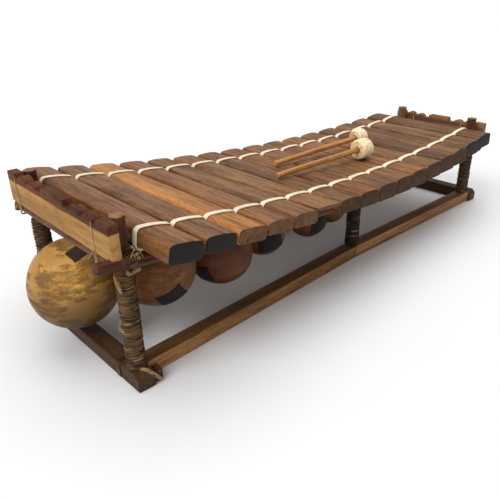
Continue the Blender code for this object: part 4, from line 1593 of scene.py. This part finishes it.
# ------------------------------------------------------------------ mallets
@dataclass
class Mallet:
    """A tapered stick with a head of rubber strip wound round its end."""

    body: str
    strip: float = 0.0042
    end_depth: float = 0.0060
    rng_seed: int = 3

    def axis(self) -> tuple[Vector, Vector, Vector, float, float]:
        """Tail, tip and head centre, with the stick's and the head's radius.

        Returns:
            The points and radii, from the CAD nodes.
        """
        places = distinct_places(f"{self.body}_stick")
        start = min(places, key=lambda co: co.x)
        end = max(places, key=lambda co: co.x)
        along = (end - start).normalized()
        tail = middle_of([co for co in places if (co - start).dot(along) < self.end_depth])
        tip = middle_of([co for co in places if (end - co).dot(along) < self.end_depth])
        stick_radius = max((co - tail).length for co in places if (co - tail).length < 2.0 * self.end_depth)
        low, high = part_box(f"{self.body}_head")
        return tail, tip, (low + high) / 2, stick_radius, (high.y - low.y) / 2

    def build(self, wood: bpy.types.Material, rubber: bpy.types.Material) -> None:
        """Build the stick and the wound head."""
        tail, tip, centre, stick_radius, head_radius = self.axis()
        along = (tip - tail).normalized()
        length = (tip - tail).length
        stick = rod(f"turned_{self.body}_stick", stick_radius, length, 20)
        up = Vector((0.0, 0.0, 1.0))
        stations = [length * share for share in (0.03, 0.2, 0.4, 0.6, 0.8)]
        slice_along(stick, up, stations)
        for vertex in stick.data.vertices:
            taper = 0.86 + 0.14 * vertex.co.z / length
            vertex.co.x *= taper
            vertex.co.y *= taper
        roughen(stick, up, stations[1:], random.Random(self.rng_seed), 0.0002, 0.015)
        round_edges(stick, lambda e: all(v.co.z < 1e-5 for v in e.verts), 0.0012, 3)
        turn = along.to_track_quat("Z", "Y").to_matrix().to_4x4()
        dress(settle(stick, Matrix.Translation(tail) @ turn), wood, 30.0)
        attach(stick, self.body)
        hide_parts(f"{self.body}_stick")
        self.build_head(centre, along, stick_radius, head_radius, rubber)

    def build_head(self, centre: Vector, along: Vector, stick_radius: float, radius: float,
                   rubber: bpy.types.Material) -> None:
        """Wind strips side by side round the stick, with a spiral of strip at each face."""
        low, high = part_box(f"{self.body}_head")
        half = (high.x - low.x) / 2 * 0.965
        turn = along.to_track_quat("Z", "Y").to_matrix()
        bands = max(3, round(2 * half / (self.strip * 1.6)))
        profile = [(stick_radius + 0.0003, -half + 0.002)]
        coils = 4
        inner = stick_radius + 0.0012
        outer = radius - 0.0016
        for coil in range(coils):
            base = inner + (outer - inner) * coil / coils
            reach = (outer - inner) / coils
            for step in range(5):
                share = step / 4
                profile.append((base + reach * share, -half + 0.0014 - 0.0014 * math.sin(math.pi * share)))
        for band in range(bands):
            start = -half + 0.002 + (2 * half - 0.004) * band / bands
            wide = (2 * half - 0.004) / bands
            for step in range(6):
                share = step / 5
                profile.append((radius - 0.0012 + 0.0012 * math.sin(math.pi * share) ** 0.6, start + wide * share))
        for coil in reversed(range(coils)):
            base = inner + (outer - inner) * coil / coils
            reach = (outer - inner) / coils
            for step in range(5):
                share = 1.0 - step / 4
                profile.append((base + reach * share, half - 0.0014 + 0.0014 * math.sin(math.pi * share)))
        profile.append((0.0006, half - 0.0010))
        profile.append((0.0, half - 0.0010))
        mesh = bpy.data.meshes.new("strip_profile")
        mesh.from_pydata([(r, 0.0, z) for r, z in profile], [(i, i + 1) for i in range(len(profile) - 1)], [])
        head = bpy.data.objects.new(f"wound_{self.body}_head", mesh)
        bpy.context.scene.collection.objects.link(head)
        choose(head)
        bpy.ops.object.mode_set(mode="EDIT")
        bpy.ops.mesh.select_all(action="SELECT")
        bpy.ops.mesh.spin(steps=56, angle=2 * math.pi, center=(0, 0, 0), axis=(0, 0, 1))
        bpy.ops.mesh.select_all(action="SELECT")
        bpy.ops.mesh.remove_doubles(threshold=0.00004)
        bpy.ops.mesh.normals_make_consistent(inside=False)
        to_object_mode()
        for vertex in head.data.vertices:
            angle = math.atan2(vertex.co.y, vertex.co.x)
            spot = Vector((math.cos(angle), math.sin(angle), vertex.co.z * 90.0))
            vertex.co.x *= 1.0 + 0.022 * noise.noise(spot * 1.3)
            vertex.co.y *= 1.0 + 0.022 * noise.noise(spot * 1.3)
        settle(head, Matrix.Translation(centre) @ turn.to_4x4())
        dress(head, rubber, 70.0)
        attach(head, self.body)
        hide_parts(f"{self.body}_head")


# ------------------------------------------------------------------- studio
@dataclass
class Studio:
    """White floor, soft light and a camera at the low end's front corner."""

    stand: Vector = field(default_factory=lambda: Vector((-0.7499, -0.6974, 0.4996)))
    turn_right: float = math.radians(42.07)
    look_down: float = math.radians(25.98)
    roll: float = math.radians(-1.18)
    lens: float = 40.0

    def build(self) -> None:
        """Set the floor, the light and the camera."""
        to_object_mode()
        bpy.ops.mesh.primitive_plane_add(size=90.0, location=(0.0, 0.0, -0.0004))
        floor = bpy.context.active_object
        floor.name = "studio_floor"
        paint = Paint("studio_white")
        tone = paint.mix(paint.noise(3.0, 2.0), (0.82, 0.82, 0.82), (0.84, 0.84, 0.84))
        floor.data.materials.append(paint.done(tone, 0.9, 0.1))
        world = bpy.context.scene.world or bpy.data.worlds.new("studio")
        bpy.context.scene.world = world
        world.use_nodes = True
        sky = world.node_tree.nodes["Background"]
        sky.inputs["Color"].default_value = (1.0, 1.0, 1.0, 1.0)
        sky.inputs["Strength"].default_value = 0.50
        for name, place, softness, power in (
            ("key", Vector((-1.9, -0.1, 1.9)), 35.0, 1.55),
            ("top", Vector((0.3, 0.3, 2.3)), 60.0, 1.35),
        ):
            light = bpy.data.lights.new(name, "SUN")
            light.angle = math.radians(softness)
            light.energy = power
            lamp = bpy.data.objects.new(name, light)
            lamp.location = place
            lamp.rotation_euler = (Vector((0.0, 0.0, 0.12)) - place).to_track_quat("-Z", "Y").to_euler()
            bpy.context.scene.collection.objects.link(lamp)
        lens = bpy.data.cameras.new("camera")
        lens.lens = self.lens
        lens.sensor_width = 36.0
        lens.shift_x = -0.004
        camera = bpy.data.objects.new("camera", lens)
        camera.matrix_world = (
            Matrix.Translation(self.stand)
            @ Matrix.Rotation(-self.turn_right, 4, "Z")
            @ Matrix.Rotation(math.pi / 2 - self.look_down, 4, "X")
            @ Matrix.Rotation(self.roll, 4, "Z")
        )
        bpy.context.scene.collection.objects.link(camera)
        bpy.context.scene.camera = camera
        bpy.context.scene.view_settings.view_transform = "Standard"
        LOG.info("studio done")


def main() -> None:
    """Build the studio and every part of the instrument, in order."""
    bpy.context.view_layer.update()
    Studio().build()
    keyboard = Keyboard()
    keyboard.build()
    cloth = Thread("cream_lacing", (0.880, 0.780, 0.600), (0.700, 0.590, 0.420), 0.7, 0.35).material()
    Lacing("lacing_front", -1.0, keyboard).build(cloth)
    Lacing("lacing_back", 1.0, keyboard).build(cloth)
    timber = Timberwork()
    timber.build()
    Windings(timber).build()
    GourdRows().build()
    wood = Wood(
        "mallet_wood", (0.640, 0.300, 0.098), (0.330, 0.140, 0.042), Grain.ALONG_X, 0.38, 2.9
    ).material()
    rubber = Rubber().material()
    for body in ("mallet_back", "mallet_front"):
        Mallet(body).build(wood, rubber)
        LOG.info("%s done", body)


if __name__ == "__main__":
    logging.basicConfig(level=logging.INFO, format="%(message)s")
    main()
